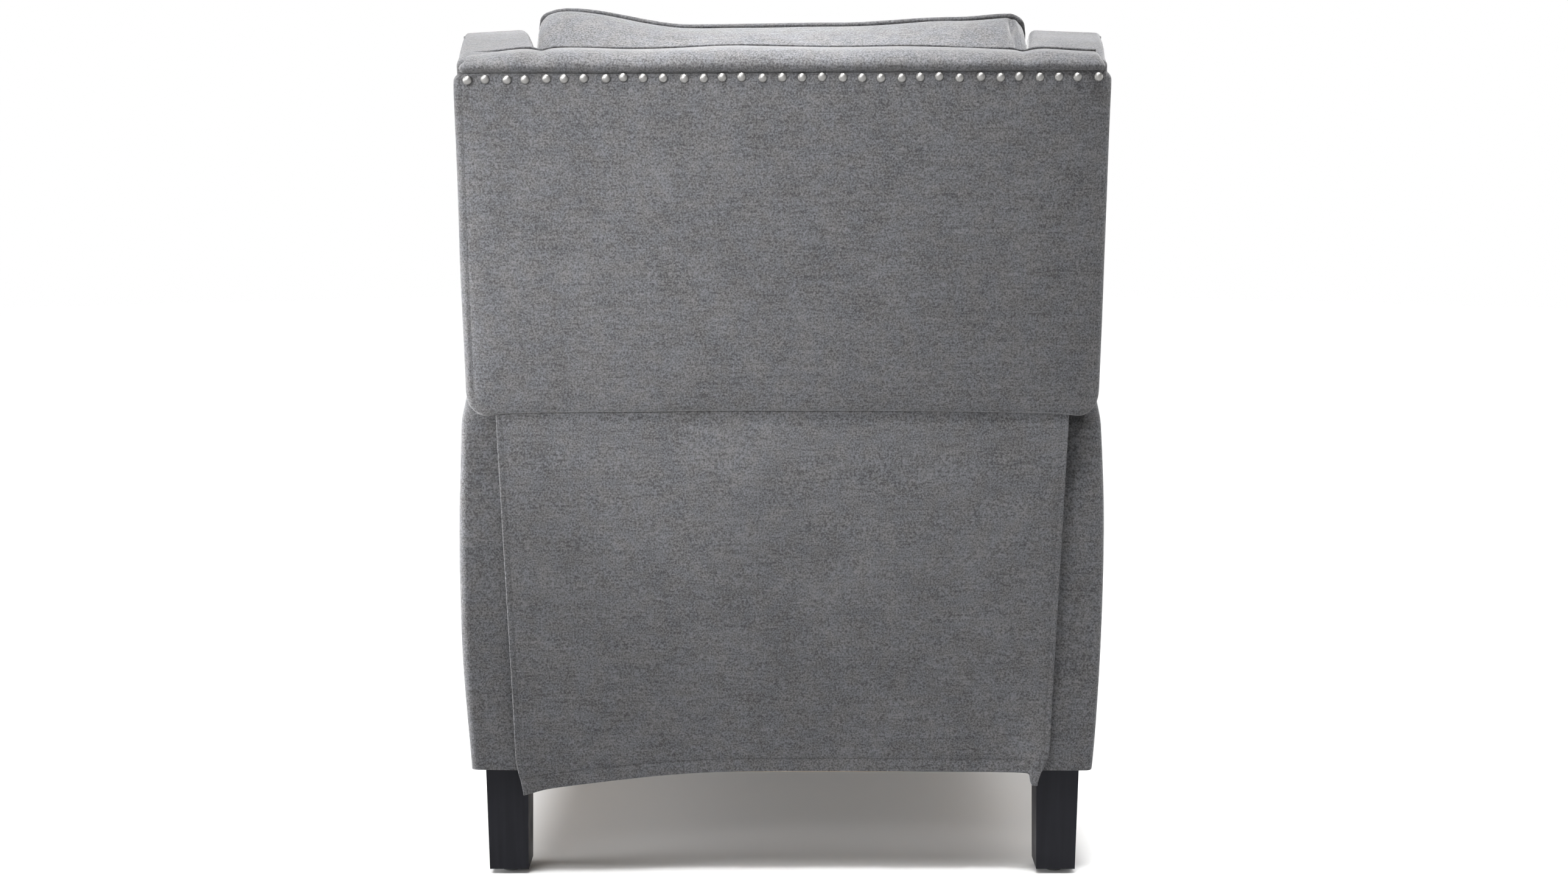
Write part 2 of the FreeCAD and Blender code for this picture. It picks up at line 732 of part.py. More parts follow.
for side in SIDES:
    core = padded(f"wing_core_{side}", "YZ_Plane", s.wing_core, core_side)
    keep(leaned(core, span(side, core_in, core_in + s.wing_core)[0]), f"wing_core_{side}")

# Back cushion: outlines from its rear panel to the crown of its front panel.
cushion_rear = post_front + s.soft_gap


def back_outline(inset, dip):
    half = s.cushion_half - inset
    low, high = inset - s.cushion_drop, s.back_height + s.cushion_rise - inset
    corners, rises = rounded(half, low, high, s.back_cushion_corner)
    return corners, (*rises[:4], -s.cushion_dip * dip, *rises[5:])


back_layers = (
    (size(0), 10, 1), (0.12 * s.cushion_thick, 1, 1), (0.5 * s.cushion_thick, 0, 1),
    (0.78 * s.cushion_thick, 5, 1), (0.92 * s.cushion_thick, 30, 0.7), (s.cushion_thick, 95, 0.4),
)
back_cushion = lofted("back_cushion", "XZ_Plane", [
    (cushion_rear + depth, back_outline(inset, dip)) for depth, inset, dip in back_layers
])
keep(leaned(back_cushion), "back_cushion")

dome = (s.nail_head * s.nail_head / 4 + s.nail_rise * s.nail_rise) / (2 * s.nail_rise)
sunk = dome - s.nail_rise
latitude = Size(math.degrees(math.asin((sunk / dome).number)), f"asin({(sunk / dome).text})")
nails = []
count = SIZES["nail_count"]
for index in range(count):
    nail = doc.addObject("Part::Sphere", "nail")
    bind(nail, "Radius", dome)
    bind(nail, "Angle1", latitude)
    put(nail, s.nail_span * (2 * index / (count - 1) - 1), -sunk, s.back_height - s.nail_inset, (1, 0, 0), -90)
    nails.append(nail)
keep(leaned(group("nail_heads", nails)), "nail_heads")

lever_side = (
    (s.pivot_y - s.plate_edge, hanger[1] - s.plate_edge), (s.pivot_y + s.plate_edge, hanger[1] - s.plate_edge),
    (s.back_y - 1.2 * rear_n, s.back_z - s.wing_clear), (s.pivot_y - s.plate_edge, s.back_z - s.wing_clear),
)
both("back_levers", lambda side: slab(f"back_lever_{side}", *span(side, lever_in, lever_out), lever_side,
                                      holes=[(back_pivot, bore), (hanger, snug)]))
rivets("hanger_pins", [hanger], rail_in, lever_out, True)

# Seat: a wooden frame with springs and cushion, carried on two steel plates.
seat_high = s.seat_rail_low + s.seat_rail_height
seat_in = rail_in - s.seat_rail_thick
for side in SIDES:
    keep(box(f"seat_side_rail_{side}", *span(side, seat_in, rail_in), -s.seat_front, s.seat_rear,
             s.seat_rail_low, seat_high), f"seat_side_rail_{side}")
keep(box("seat_front_rail", -seat_in, seat_in, -s.seat_front, s.seat_rail_thick - s.seat_front,
         s.seat_rail_low, seat_high), "seat_front_rail")
keep(box("seat_rear_rail", -seat_in, seat_in, s.seat_rear - s.seat_rail_thick, s.seat_rear,
         s.seat_rail_low, seat_high), "seat_rear_rail")

edge = s.plate_edge
plate_side = (
    (s.pivot_y + edge, hanger[1] + edge), (s.pivot_y + edge, hanger[1] - edge),
    (rear_pivot[0] + 2 * edge, hanger[1] - edge), (rear_pivot[0] + edge, rear_pivot[1] - edge),
    (rear_pivot[0] - edge, rear_pivot[1] - edge), (front_pivot[0] - edge, front_pivot[1] - edge),
    (front_pivot[0] - edge, front_pivot[1] + edge),
)
both("seat_plates", lambda side: slab(
    f"seat_plate_{side}", *span(side, rail_in, rail_out), plate_side,
    holes=[(hanger, bore), (roller_rest, snug), (rear_pivot, snug), (front_pivot, snug)],
))
rivets("seat_pivot_rivets", [rear_pivot, front_pivot], rail_in, link_out + s.layer_gap / 4, False)
both("seat_roller_pins", lambda side: rod("seat_roller_pin", roller_rest, *span(side, rail_in, panel_in), s.pin))
both("seat_rollers", lambda side: less(
    "seat_roller",
    rod("roller_outside", roller_rest, *span(side, track_in - s.layer_gap, panel_in), s.roller),
    rod("roller_inside", roller_rest, *span(side, track_in - s.plate, panel_in + s.plate), 2 * snug),
))

spring_run = SIZES["seat_front"] + SIZES["seat_rear"] - SIZES["seat_rail_thick"]
seat_rows = SIZES["spring_rows"]
seat_wire = zigzag(seat_rows, spring_run / (seat_rows - 1), SIZES["spring_reach"], SIZES["spring_wire"])
seat_springs = doc.addObject("Part::Feature", "seat_springs")
seat_count = SIZES["spring_wires"]
seat_springs.Shape = Part.makeCompound([
    seat_wire.translated(Vector((i - (seat_count - 1) / 2) * SIZES["spring_spread"], 0, 0))
    for i in range(seat_count)
])
put(seat_springs, 0, s.seat_rail_thick / 2 - s.seat_front, seat_high + s.spring_wire / 2 + s.snug_fit)
keep(seat_springs, "seat_springs")

back_low = SIZES["mid_rail_low"] + SIZES["back_rail_high"] / 2
back_run = SIZES["back_height"] - SIZES["back_rail_high"] / 2 - back_low
back_rows = SIZES["back_rows"]
back_wire = zigzag(back_rows, back_run / (back_rows - 1), SIZES["spring_reach"], SIZES["spring_wire"])
back_wire.rotate(Vector(0, 0, 0), Vector(1, 0, 0), 90)
back_depth = rail_face.number + SIZES["spring_wire"] / 2 + SIZES["snug_fit"]
back_count = SIZES["back_wires"]
back_springs = doc.addObject("Part::Feature", "back_springs")
back_springs.Shape = Part.makeCompound([
    back_wire.translated(Vector((i - (back_count - 1) / 2) * SIZES["spring_spread"], -back_depth, back_low))
    for i in range(back_count)
])
keep(leaned(back_springs), "back_springs")

# Seat cushion: outlines from its underside to its crown.
cushion_low = seat_high + s.spring_wire + s.soft_gap
seat_half = half_gap - s.seat_side_gap
seat_layers = (
    (0, 12), (0.15, 2), (0.45, 0), (0.76, 3), (0.9, 22), (0.97, 70), (1, 140),
)
seat_cushion = lofted("seat_cushion", "XY_Plane", [
    (cushion_low + share * s.cushion_height,
     rounded(seat_half - inset, inset - s.cushion_nose, s.cushion_rear - inset, s.cushion_corner))
    for share, inset in seat_layers
])
keep(seat_cushion, "seat_cushion")

# Legrest: the pantograph links, the padded board and their brackets.
both("front_links", lambda side: fused(f"front_link_{side}", [
    bar(f"front_bar_{side}", *span(side, link_in, link_out), front_pivot, toe_heel,
        [(front_pivot, bore), (carrier_mid, bore)]),
    rod(f"front_stud_{side}", toe_heel, *span(side, link_in, carry_out), s.pin),
]))
tube_spot = along(front_pivot, arm_vector, s.tube_place)
keep(rod("torque_tube", tube_spot, -link_in, link_in, s.tube), "torque_tube")
both("rear_links", lambda side: fused(f"rear_link_{side}", [
    bar(f"rear_bar_{side}", *span(side, link_in, link_out), drive_tip, carrier_heel,
        [(rear_pivot, bore), (carrier_heel, bore)]),
    rod(f"rear_stud_{side}", drive_tip, *span(side, link_in, drive_out), s.pin),
]))
both("drive_links", lambda side: bar(
    f"drive_link_{side}", *span(side, drive_in, drive_out), drive_pivot, drive_tip,
    [(drive_pivot, bore), (drive_tip, s.pin / 2 + s.drive_play)],
))
both("carrier_links", lambda side: bar(
    f"carrier_link_{side}", *span(side, carry_in, carry_out), carrier_heel, carrier_toe,
    [(carrier_heel, snug), (carrier_mid, snug), (carrier_toe, bore)],
))
rivets("carrier_rivets", [carrier_heel, carrier_mid], link_in - s.layer_gap / 4, carry_out, True)
both("toe_links", lambda side: bar(
    f"toe_link_{side}", *span(side, carry_in, carry_out), toe_heel, toe_tip,
    [(toe_heel, bore), (toe_tip, bore)],
))
board_face = -s.board_back
bracket_side = (
    (board_face, carrier_toe[1] + 1.5 * edge), (carrier_toe[0] + edge / 2, carrier_toe[1] + edge),
    (toe_tip[0] + edge, toe_tip[1] + edge), (toe_tip[0] + edge, toe_tip[1] - edge),
    (board_face, toe_tip[1] - 1.5 * edge),
)
both("legrest_brackets", lambda side: slab(
    f"legrest_bracket_{side}", *span(side, link_in, link_out), bracket_side,
    holes=[(carrier_toe, snug), (toe_tip, snug)],
))
rivets("legrest_rivets", [carrier_toe, toe_tip], link_in, carry_out, True)
legrest_half = half_gap - s.legrest_side_gap
board_corners, board_rises = rounded(legrest_half, s.legrest_low, s.legrest_high, s.legrest_corner)
board = padded("legrest_board", "XZ_Plane", s.board_thick, board_corners, board_rises)
keep(put(board, y=board_face), "legrest_board")
pad_start = s.board_back + s.board_thick
keep(lofted("legrest_pad", "XZ_Plane", [
    (pad_start + share * s.pad_thick,
     rounded(legrest_half - inset, s.legrest_low + inset, s.legrest_high - inset, s.legrest_corner))
    for share, inset in ((0, 0), (0.35, 0), (0.7, 2), (0.9, 12), (1, 40))
]), "legrest_pad")

doc.recompute()
for item in doc.Objects:
    broken = [word for word in item.State if word in ("Invalid", "Error")]
    if broken:
        raise RuntimeError(f"{item.Label} is {broken[0]}")
for item in nodes:
    if item.Shape.isNull() or not item.Shape.isValid() or not item.Shape.Solids:
        raise RuntimeError(f"{item.Label} has no valid solid")
os.makedirs("parts", exist_ok=True)
for item in nodes:
    item.Shape.exportStep(f"parts/{item.Label}.step")
print(len(nodes), "sub-parts")
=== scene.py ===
import json
import math
import random

import bpy
import numpy as np
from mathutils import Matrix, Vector, noise


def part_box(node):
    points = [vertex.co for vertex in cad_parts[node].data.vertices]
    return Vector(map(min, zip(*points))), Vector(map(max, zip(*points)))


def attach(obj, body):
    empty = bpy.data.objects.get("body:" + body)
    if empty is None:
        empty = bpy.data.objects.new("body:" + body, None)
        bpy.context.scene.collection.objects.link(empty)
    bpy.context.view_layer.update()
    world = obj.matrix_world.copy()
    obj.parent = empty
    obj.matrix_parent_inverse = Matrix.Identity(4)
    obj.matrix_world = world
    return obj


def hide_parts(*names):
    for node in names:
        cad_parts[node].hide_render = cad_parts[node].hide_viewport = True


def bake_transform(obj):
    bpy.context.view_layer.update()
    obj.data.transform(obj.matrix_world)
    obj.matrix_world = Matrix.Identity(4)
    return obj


# A winged pushback recliner in heathered grey cloth, seen from behind. Metres, +Z up, the chair faces -Y.

bl_info = {
    "name": "Winged pushback recliner",
    "version": (1, 0, 0),
    "blender": (4, 5, 0),
    "location": "3D View > Sidebar > Recliner",
    "description": "Upholsters the frame of a winged pushback recliner and finishes its wood and metal",
    "category": "Add Mesh",
}

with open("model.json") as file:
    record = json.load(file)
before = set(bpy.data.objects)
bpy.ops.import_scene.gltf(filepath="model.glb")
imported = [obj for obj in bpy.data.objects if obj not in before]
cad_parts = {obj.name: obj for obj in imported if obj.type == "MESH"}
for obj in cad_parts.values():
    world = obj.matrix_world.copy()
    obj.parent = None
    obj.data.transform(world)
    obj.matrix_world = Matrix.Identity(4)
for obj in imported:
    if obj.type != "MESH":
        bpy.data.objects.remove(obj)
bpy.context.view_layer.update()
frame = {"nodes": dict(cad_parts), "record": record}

# Grid of the soft pieces
CELL = 0.011
EDGE_STEPS = 3
SEAM_STEPS = (-0.0045, -0.0018, 0.0, 0.0018, 0.0045)
LEAST_CELL = 0.0011
SWELL_FRAMES = 20

# Welts stand off by a share of their radius; a stitch is thin at both ends of its length.
WELT_PROUD = 0.6
STITCH_PROFILE = ((0.0, 0.4), (0.2, 1.0), (0.8, 1.0), (1.0, 0.4))
SIDES = (("left", 1), ("right", -1))

# The back stands on the lower rear edge of its outside panel and leans away from the sitter.
LEAN = math.radians(11)
LEAN_COS, LEAN_SIN = math.cos(LEAN), math.sin(LEAN)
PANEL_LOW, PANEL_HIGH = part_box("outside_back")
PANEL_DEEP, PANEL_TALL = PANEL_HIGH.y - PANEL_LOW.y, PANEL_HIGH.z - PANEL_LOW.z
PANEL_HEIGHT = (PANEL_TALL * LEAN_COS - PANEL_DEEP * LEAN_SIN) / math.cos(2 * LEAN)
PANEL_THICK = (PANEL_DEEP * LEAN_COS - PANEL_TALL * LEAN_SIN) / math.cos(2 * LEAN)
BACK_Y = PANEL_HIGH.y - PANEL_HEIGHT * LEAN_SIN
BACK_Z = PANEL_LOW.z
BACK_OUT = np.array((0.0, LEAN_COS, -LEAN_SIN))


def on_back(across, depth, rise):
    """Places in the frame, given across, in depth from the outer face and in rise up the slope."""
    return np.column_stack((across, BACK_Y - depth * LEAN_COS + rise * LEAN_SIN,
                            BACK_Z + depth * LEAN_SIN + rise * LEAN_COS))


def leaned(y, z):
    """The depth and rise of places in the frame."""
    y, z = y - BACK_Y, z - BACK_Z
    return z * LEAN_SIN - y * LEAN_COS, y * LEAN_SIN + z * LEAN_COS


def lean_box(node):
    """The lowest and highest corner of a node across, in depth and in rise."""
    x, y, z = np.array([v.co for v in frame["nodes"][node].data.vertices]).T
    points = np.column_stack((x, *leaned(y, z)))
    return points.min(0), points.max(0)


def colour(name, description, default):
    return bpy.props.FloatVectorProperty(name=name, description=description, subtype="COLOR", default=default,
                                         min=0, max=1)


def length(name, description, default, least, most):
    return bpy.props.FloatProperty(name=name, description=description, unit="LENGTH", default=default,
                                   min=least, max=most)


class ReclinerLook(bpy.types.PropertyGroup):
    """Colours and small sizes of the upholstery, wood and metal."""

    cloth_dark: colour("Dark yarn", "Shadow colour of the heathered cloth", (0.0312, 0.0312, 0.0323))
    cloth_light: colour("Light yarn", "Bright colour of the heathered cloth", (0.1064, 0.1064, 0.1101))
    leg_colour: colour("Leg stain", "Colour of the stained legs", (0.0085, 0.0087, 0.0112))
    nail_colour: colour("Nail metal", "Colour of the nail heads", (0.28, 0.276, 0.268))
    welt_radius: length("Welt radius", "Radius of the cord sewn into the cushion seams", 0.0031, 0.001, 0.01)
    nail_radius: length("Nail radius", "Radius of a decorative nail head", 0.0050, 0.002, 0.01)
    flap_thickness: length("Flap thickness", "Thickness of the hanging rear cloth", 0.0024, 0.0005, 0.005)


# Soft forms

def lines(low, high, cell, edge, seams=()):
    """Grid lines from low to high, even inside, closer in the rounded edges and about each seam."""
    ends = [edge * step / EDGE_STEPS for step in range(EDGE_STEPS)]
    count = max(1, round((high - low - 2 * edge) / cell))
    even = [low + end for end in ends] + list(np.linspace(low + edge, high - edge, count + 1))
    even += [high - end for end in ends]
    close = [seam + step for seam in seams for step in SEAM_STEPS if low < seam + step < high]
    kept = [value for value in even
            if value in (low, high) or all(abs(value - other) > 2 * LEAST_CELL for other in close)]
    values = sorted(kept + close)
    return [value for value, before in zip(values, [-math.inf] + values) if value - before > LEAST_CELL / 4]


def smooth(low, high, value):
    """A smooth step of value from 0 at low to 1 at high."""
    share = np.clip((value - low) / (high - low), 0, 1)
    return share * share * (3 - 2 * share)


def dent(value, width):
    return np.exp(-(value / width) ** 2)


def along(places, heights, values):
    """Values read off a smooth line through a few places and heights."""
    places, heights = np.asarray(places, float), np.asarray(heights, float)
    index = np.clip(np.searchsorted(places, values) - 1, 0, len(places) - 2)
    share = smooth(places[index], places[index + 1], values)
    return heights[index] * (1 - share) + heights[index + 1] * share


class Skin:
    """A closed skin of quads over a box of grid lines, whose points are then shaped."""

    def __init__(self, *axes):
        self.axes = [np.asarray(values, float) for values in axes]
        self.number = {}
        self.quads = []
        for axis in range(3):
            first, second = (axis + 1) % 3, (axis + 2) % 3
            for end in (0, len(self.axes[axis]) - 1):
                for i in range(len(self.axes[first]) - 1):
                    for j in range(len(self.axes[second]) - 1):
                        corners = [(i, j), (i + 1, j), (i + 1, j + 1), (i, j + 1)]
                        if end == 0:
                            corners.reverse()
                        self.quads.append([self.point(axis, end, a, b) for a, b in corners])
        self.points = np.array([[line[k] for line, k in zip(self.axes, key)] for key in self.number])

    def point(self, axis, end, first, second):
        """The number of the point at a grid place on one side of the box."""
        key = [0, 0, 0]
        key[axis], key[(axis + 1) % 3], key[(axis + 2) % 3] = end, first, second
        return self.number.setdefault(tuple(key), len(self.number))

    def side(self, axis, end):
        """The numbers of all points on one side of the box."""
        last = len(self.axes[axis]) - 1
        return [n for key, n in self.number.items() if key[axis] == (last if end else 0)]

    def ring(self, axis, end):
        """The numbers of the points round the border of one side, in order."""
        last = len(self.axes[axis]) - 1 if end else 0
        wide, tall = (len(self.axes[(axis + step) % 3]) - 1 for step in (1, 2))
        loop = [(i, 0) for i in range(wide)] + [(wide, j) for j in range(tall)]
        loop += [(i, tall) for i in range(wide, 0, -1)] + [(0, j) for j in range(tall, 0, -1)]
        return [self.point(axis, last, i, j) for i, j in loop]

    def rounded(self, *radii):
        """Round every edge of the box, by one radius or by one along each axis."""
        radii = np.asarray(radii, float)
        low, high = (np.array([line[end] for line in self.axes]) for end in (0, -1))
        core = np.clip(self.points, low + radii, high - radii)
        reach = (self.points - core) / radii
        self.points = core + radii * reach / np.linalg.norm(reach, axis=1, keepdims=True)

    def corner(self, first, second, ends, radius):
        """Round one upright corner of the outline in the plane of two axes."""
        shares = []
        edges = []
        for axis, end in zip((first, second), ends):
            edge = self.axes[axis][-1 if end else 0]
            way = 1 if end else -1
            edges.append((edge - way * radius, way * radius))
            shares.append((self.points[:, axis] - edges[-1][0]) / edges[-1][1])
        a, b = shares
        inside = (a > 0) & (b > 0)
        for axis, (start, reach), own, other in zip((first, second), edges, (a, b), (b, a)):
            bent = start + reach * own * np.sqrt(1 - np.clip(other, 0, 1) ** 2 / 2)
            self.points[inside, axis] = bent[inside]

    def shape(self, function):
        """Move the points by a function of their three columns, and turn the quads to face outwards."""
        self.points = np.asarray(function(*self.points.T))
        a, b, c, d = self.corners()
        if np.einsum("ij,ij->i", a, np.cross(b, c) + np.cross(c, d)).sum() < 0:
            self.quads = [quad[::-1] for quad in self.quads]

    def corners(self):
        """The places of the four corners of every quad."""
        return self.points[np.array(self.quads).T]

    def normals(self):
        a, b, c, d = self.corners()
        total = np.zeros_like(self.points)
        for numbers in np.array(self.quads).T:
            np.add.at(total, numbers, np.cross(c - a, d - b))
        return total / np.maximum(np.linalg.norm(total, axis=1, keepdims=True), 1e-12)

    def uneven(self, height, reach, seed, still=()):
        """Raise and lower the skin a little, in soft patches of about one reach, except its still points."""
        offset = Vector((seed, 2 * seed, 3 * seed))
        rise = np.array([noise.noise(Vector(point) / reach + offset) for point in self.points])
        rise[list(still)] = 0
        self.points = self.points + self.normals() * (height * rise)[:, None]

    def swell(self, held, pressure, reach):
        """Fill the skin by a short cloth simulation under inner pressure, with its held points fixed."""
        filled = self.object("filling")
        filled.vertex_groups.new(name="held").add(sorted(held), 1.0, "REPLACE")
        cloth = filled.modifiers.new("cloth", "CLOTH").settings
        cloth.vertex_group_mass = "held"
        cloth.use_pressure = True
        cloth.uniform_pressure_force = pressure
        cloth.effector_weights.gravity = 0
        scene = bpy.context.scene
        for step in range(1, SWELL_FRAMES + 1):
            scene.frame_set(step)
        shape = filled.evaluated_get(bpy.context.evaluated_depsgraph_get()).data
        moved = np.array([v.co for v in shape.vertices]) - self.points
        far = np.maximum(np.linalg.norm(moved, axis=1, keepdims=True), 1e-9)
        self.points = self.points + moved * np.minimum(1, reach / far)
        bpy.data.objects.remove(filled)
        scene.frame_set(1)

    def object(self, name):
        return linked(name, self.points, self.quads)


def linked(name, points, faces):
    """A new mesh object in the scene, shaded smooth."""
    mesh = bpy.data.meshes.new(name)
    mesh.from_pydata(np.asarray(points).tolist(), [], faces)
    piece = bpy.data.objects.new(name, mesh)
    bpy.context.scene.collection.objects.link(piece)
    mesh.shade_smooth()
    return piece


def smoothed(piece):
    """The piece subdivided once, with its modifiers made part of its mesh."""
    surface = piece.modifiers.new("smooth", "SUBSURF")
    surface.levels = surface.render_levels = 1
    shape = piece.evaluated_get(bpy.context.evaluated_depsgraph_get())
    mesh = bpy.data.meshes.new_from_object(shape)
    mesh.name = piece.name
    piece.modifiers.clear()
    piece.data = mesh
    mesh.shade_smooth()
    return piece


def proud(skin, numbers):
    """Places for a welt along points of a skin, a little off its surface."""
    off = WELT_PROUD * bpy.context.scene.recliner.welt_radius
    return skin.points[numbers] + off * skin.normals()[numbers]


def circle(sides):
    """The cosine and sine of even turns."""
    return [(math.cos(turn), math.sin(turn)) for turn in np.linspace(0, 2 * math.pi, sides, endpoint=False)]


def tube_faces(start, rings, sides, closed=False):
    """Faces between rings of points counted from start, with both ends capped unless the tube closes."""
    faces = []
    for i in range(rings if closed else rings - 1):
        here, there = start + i * sides, start + (i + 1) % rings * sides
        for k in range(sides):
            after = (k + 1) % sides
            faces.append((here + k, here + after, there + after, there + k))
    if not closed:
        faces.append(tuple(start + k for k in reversed(range(sides))))
        faces.append(tuple(start + (rings - 1) * sides + k for k in range(sides)))
    return faces


def piping(name, body, paths, radius=None, sides=10):
    """Welt cord along paths, each given with its points, an upward hint and whether it closes."""
    radius = radius or bpy.context.scene.recliner.welt_radius
    points, faces = [], []
    for path, up, closed in paths:
        path = np.asarray(path, float)
        ahead, behind = np.roll(path, -1, axis=0), np.roll(path, 1, axis=0)
        if not closed:
            ahead[-1], behind[0] = path[-1], path[0]
        run = ahead - behind
        run /= np.linalg.norm(run, axis=1, keepdims=True)
        across = np.cross(run, np.asarray(up, float))
        across /= np.linalg.norm(across, axis=1, keepdims=True)
        over = np.cross(across, run)
        faces += tube_faces(len(points), len(path), sides, closed)
        for place, one, two in zip(path, across, over):
            points += [place + radius * (one * cos + two * sin) for cos, sin in circle(sides)]
    dress(linked(name, points, faces), body, finish="welt")


def stitches(name, paths, out, pitch=0.0046, length=0.0031, radius=0.0004, sides=6):
    """Short raised threads in a row along each path, lying on a surface that faces out."""
    points, faces = [], []
    out = np.asarray(out, float)
    for path in paths:
        steps = np.concatenate(([0], np.cumsum(np.linalg.norm(np.diff(path, axis=0), axis=1))))
        for middle in np.arange(pitch, steps[-1] - pitch, pitch):
            ends = (middle - length / 2, middle + length / 2)
            tail, head = (np.array([np.interp(end, steps, column) for column in path.T]) for end in ends)
            run = (head - tail) / np.linalg.norm(head - tail)
            across = np.cross(run, out)
            faces += tube_faces(len(points), len(STITCH_PROFILE), sides)
            for share, wide in STITCH_PROFILE:
                core = tail + (head - tail) * share
                points += [core + radius * wide * (across * cos + out * sin) for cos, sin in circle(sides)]
    return linked(name, points, faces)


# Finishes

class Wire:
    """A shader value. Arithmetic on it adds Math nodes to its finish."""

    def __init__(self, finish, socket):
        self.finish = finish
        self.socket = socket

    def math(self, operation, *values):
        return self.finish.add("ShaderNodeMath", dict(enumerate(values)), operation=operation)

    def __add__(self, other):
        return self.math("ADD", self, other)

    __radd__ = __add__

    def __sub__(self, other):
        return self.math("SUBTRACT", self, other)

    def __rsub__(self, other):
        return self.math("SUBTRACT", other, self)

    def __mul__(self, other):
        return self.math("MULTIPLY", self, other)

    __rmul__ = __mul__

    def __abs__(self):
        return self.math("ABSOLUTE", self)


class Finish:
    """A node material, or the sky, under construction: everything in it feeds one shader."""

    def __init__(self, name, owner=None, shader="Principled BSDF", **constants):
        self.material = (bpy.data.materials if owner is None else owner).new(name)
        self.material.use_nodes = True
        self.tree = self.material.node_tree
        self.shader = self.tree.nodes[shader]
        self.feed(**constants)

    def add(self, kind, inputs=None, output=0, **settings):
        """One node: its settings first, then its socket values or links, and the wire of one output."""
        node = self.tree.nodes.new(kind)
        for key, value in settings.items():
            setattr(node, key, value)
        for key, value in (inputs or {}).items():
            self.plug(node.inputs[key], value)
        return Wire(self, node.outputs[output])

    def plug(self, socket, value):
        if isinstance(value, Wire):
            self.tree.links.new(value.socket, socket)
        else:
            socket.default_value = value

    def feed(self, **sockets):
        """Set or link sockets of the shader, named with underscores for spaces."""
        for name, value in sockets.items():
            self.plug(self.shader.inputs[name.replace("_", " ").title().replace("Ior", "IOR")], value)

    def place(self, *scale):
        """Object coordinates, stretched along each axis where a scale is given."""
        spot = self.add("ShaderNodeTexCoord", output="Object")
        if not scale:
            return spot
        return self.add("ShaderNodeVectorMath", {0: spot, 1: scale}, operation="MULTIPLY")

    def noise(self, place=None, scale=1.0, detail=2.0, roughness=0.5):
        return self.add("ShaderNodeTexNoise", {
            "Vector": place or self.place(), "Scale": scale, "Detail": detail, "Roughness": roughness}, "Fac")

    def blend(self, share, one, two):
        """A mix of two colours or vectors given as colours."""
        return self.add("ShaderNodeMix", {0: share, 6: one, 7: two}, 2, data_type="RGBA")

    def spread(self, value, low, high, start=0.0, end=1.0):
        return self.add("ShaderNodeMapRange", {
            "Value": value, "From Min": low, "From Max": high, "To Min": start, "To Max": end})

    def vary(self, cloud, start, end):
        """A value that goes from start to end over the usual range of a noise."""
        return self.spread(cloud, 0.3, 0.7, start, end)

    def bump(self, height, strength, distance):
        self.feed(normal=self.add("ShaderNodeBump", {
            "Strength": strength, "Distance": distance, "Height": height}))


def opaque(colour, share=1.0):
    """A share of a colour, with full alpha."""
    return (*(c * share for c in colour), 1.0)


def cloth_finish(look, name, shade=1.0):
    """Heathered chenille: level streaks, turned across on lying faces, a worm-like pile and soft mottling."""
    finish = Finish(name, roughness=0.92, sheen_weight=0.3, sheen_roughness=0.4, specular_ior_level=0.2)
    facing = finish.add("ShaderNodeTexCoord", output="Normal")
    upward = finish.add("ShaderNodeSeparateXYZ", {0: facing}, "Z")
    lying = finish.spread(abs(upward), 0.55, 0.8)

    def level(run, pitch):
        """A grid stretched along the level threads on upright faces and across the seat on lying ones."""
        return finish.blend(lying, finish.place(run, run, pitch), finish.place(run, pitch, run))

    pile = finish.noise(scale=520, detail=1.5, roughness=0.6)
    streak = finish.noise(level(60, 520), detail=1.5)
    slub = finish.noise(level(14, 230))
    patch = finish.noise(scale=21, detail=3.0, roughness=0.6)
    tint = finish.noise(scale=60, detail=1.0)
    heather = pile * 0.62 + streak * 0.16 + slub * 0.08 + patch * 0.14
    share = finish.spread(heather, 0.37, 0.63)
    grey = finish.blend(share, opaque(look.cloth_dark, shade), opaque(look.cloth_light, shade))
    warm = (1.015, 1.0, 0.985, 1.0)
    cool = (0.985, 1.0, 1.03, 1.0)
    cast = finish.blend(finish.spread(tint, 0.35, 0.65), warm, cool)
    finish.feed(base_color=finish.add("ShaderNodeMix", {0: 1.0, 6: grey, 7: cast}, 2, data_type="RGBA",
                                      blend_type="MULTIPLY"))
    finish.bump(pile * 0.75 + streak * 0.25, 0.55, 0.0011)
    return finish.material


def leg_finish(look):
    """Black stained hardwood under a satin coat, its grain upright."""
    finish = Finish("leg_wood", specular_ior_level=0.09)
    grain = finish.noise(finish.place(190, 190, 7), detail=3.0)
    cloud = finish.noise(scale=22)
    dark, light = (opaque(look.leg_colour, share) for share in (0.75, 1.6))
    finish.feed(base_color=finish.blend(grain, dark, light), roughness=finish.vary(cloud, 0.34, 0.46))
    finish.bump(grain, 0.15, 0.0006)
    return finish.material


def timber_finish():
    """Sawn frame timber and plywood, pale with growth lines."""
    finish = Finish("frame_wood", roughness=0.62)
    warp = finish.noise(scale=6)
    ring = finish.noise(finish.place(11, 90, 90), detail=3.0)
    share = finish.spread(ring * 0.8 + warp * 0.2, 0.36, 0.64)
    finish.feed(base_color=finish.blend(share, (0.27, 0.19, 0.125, 1.0), (0.43, 0.34, 0.24, 1.0)))
    finish.bump(ring, 0.2, 0.0008)
    return finish.material


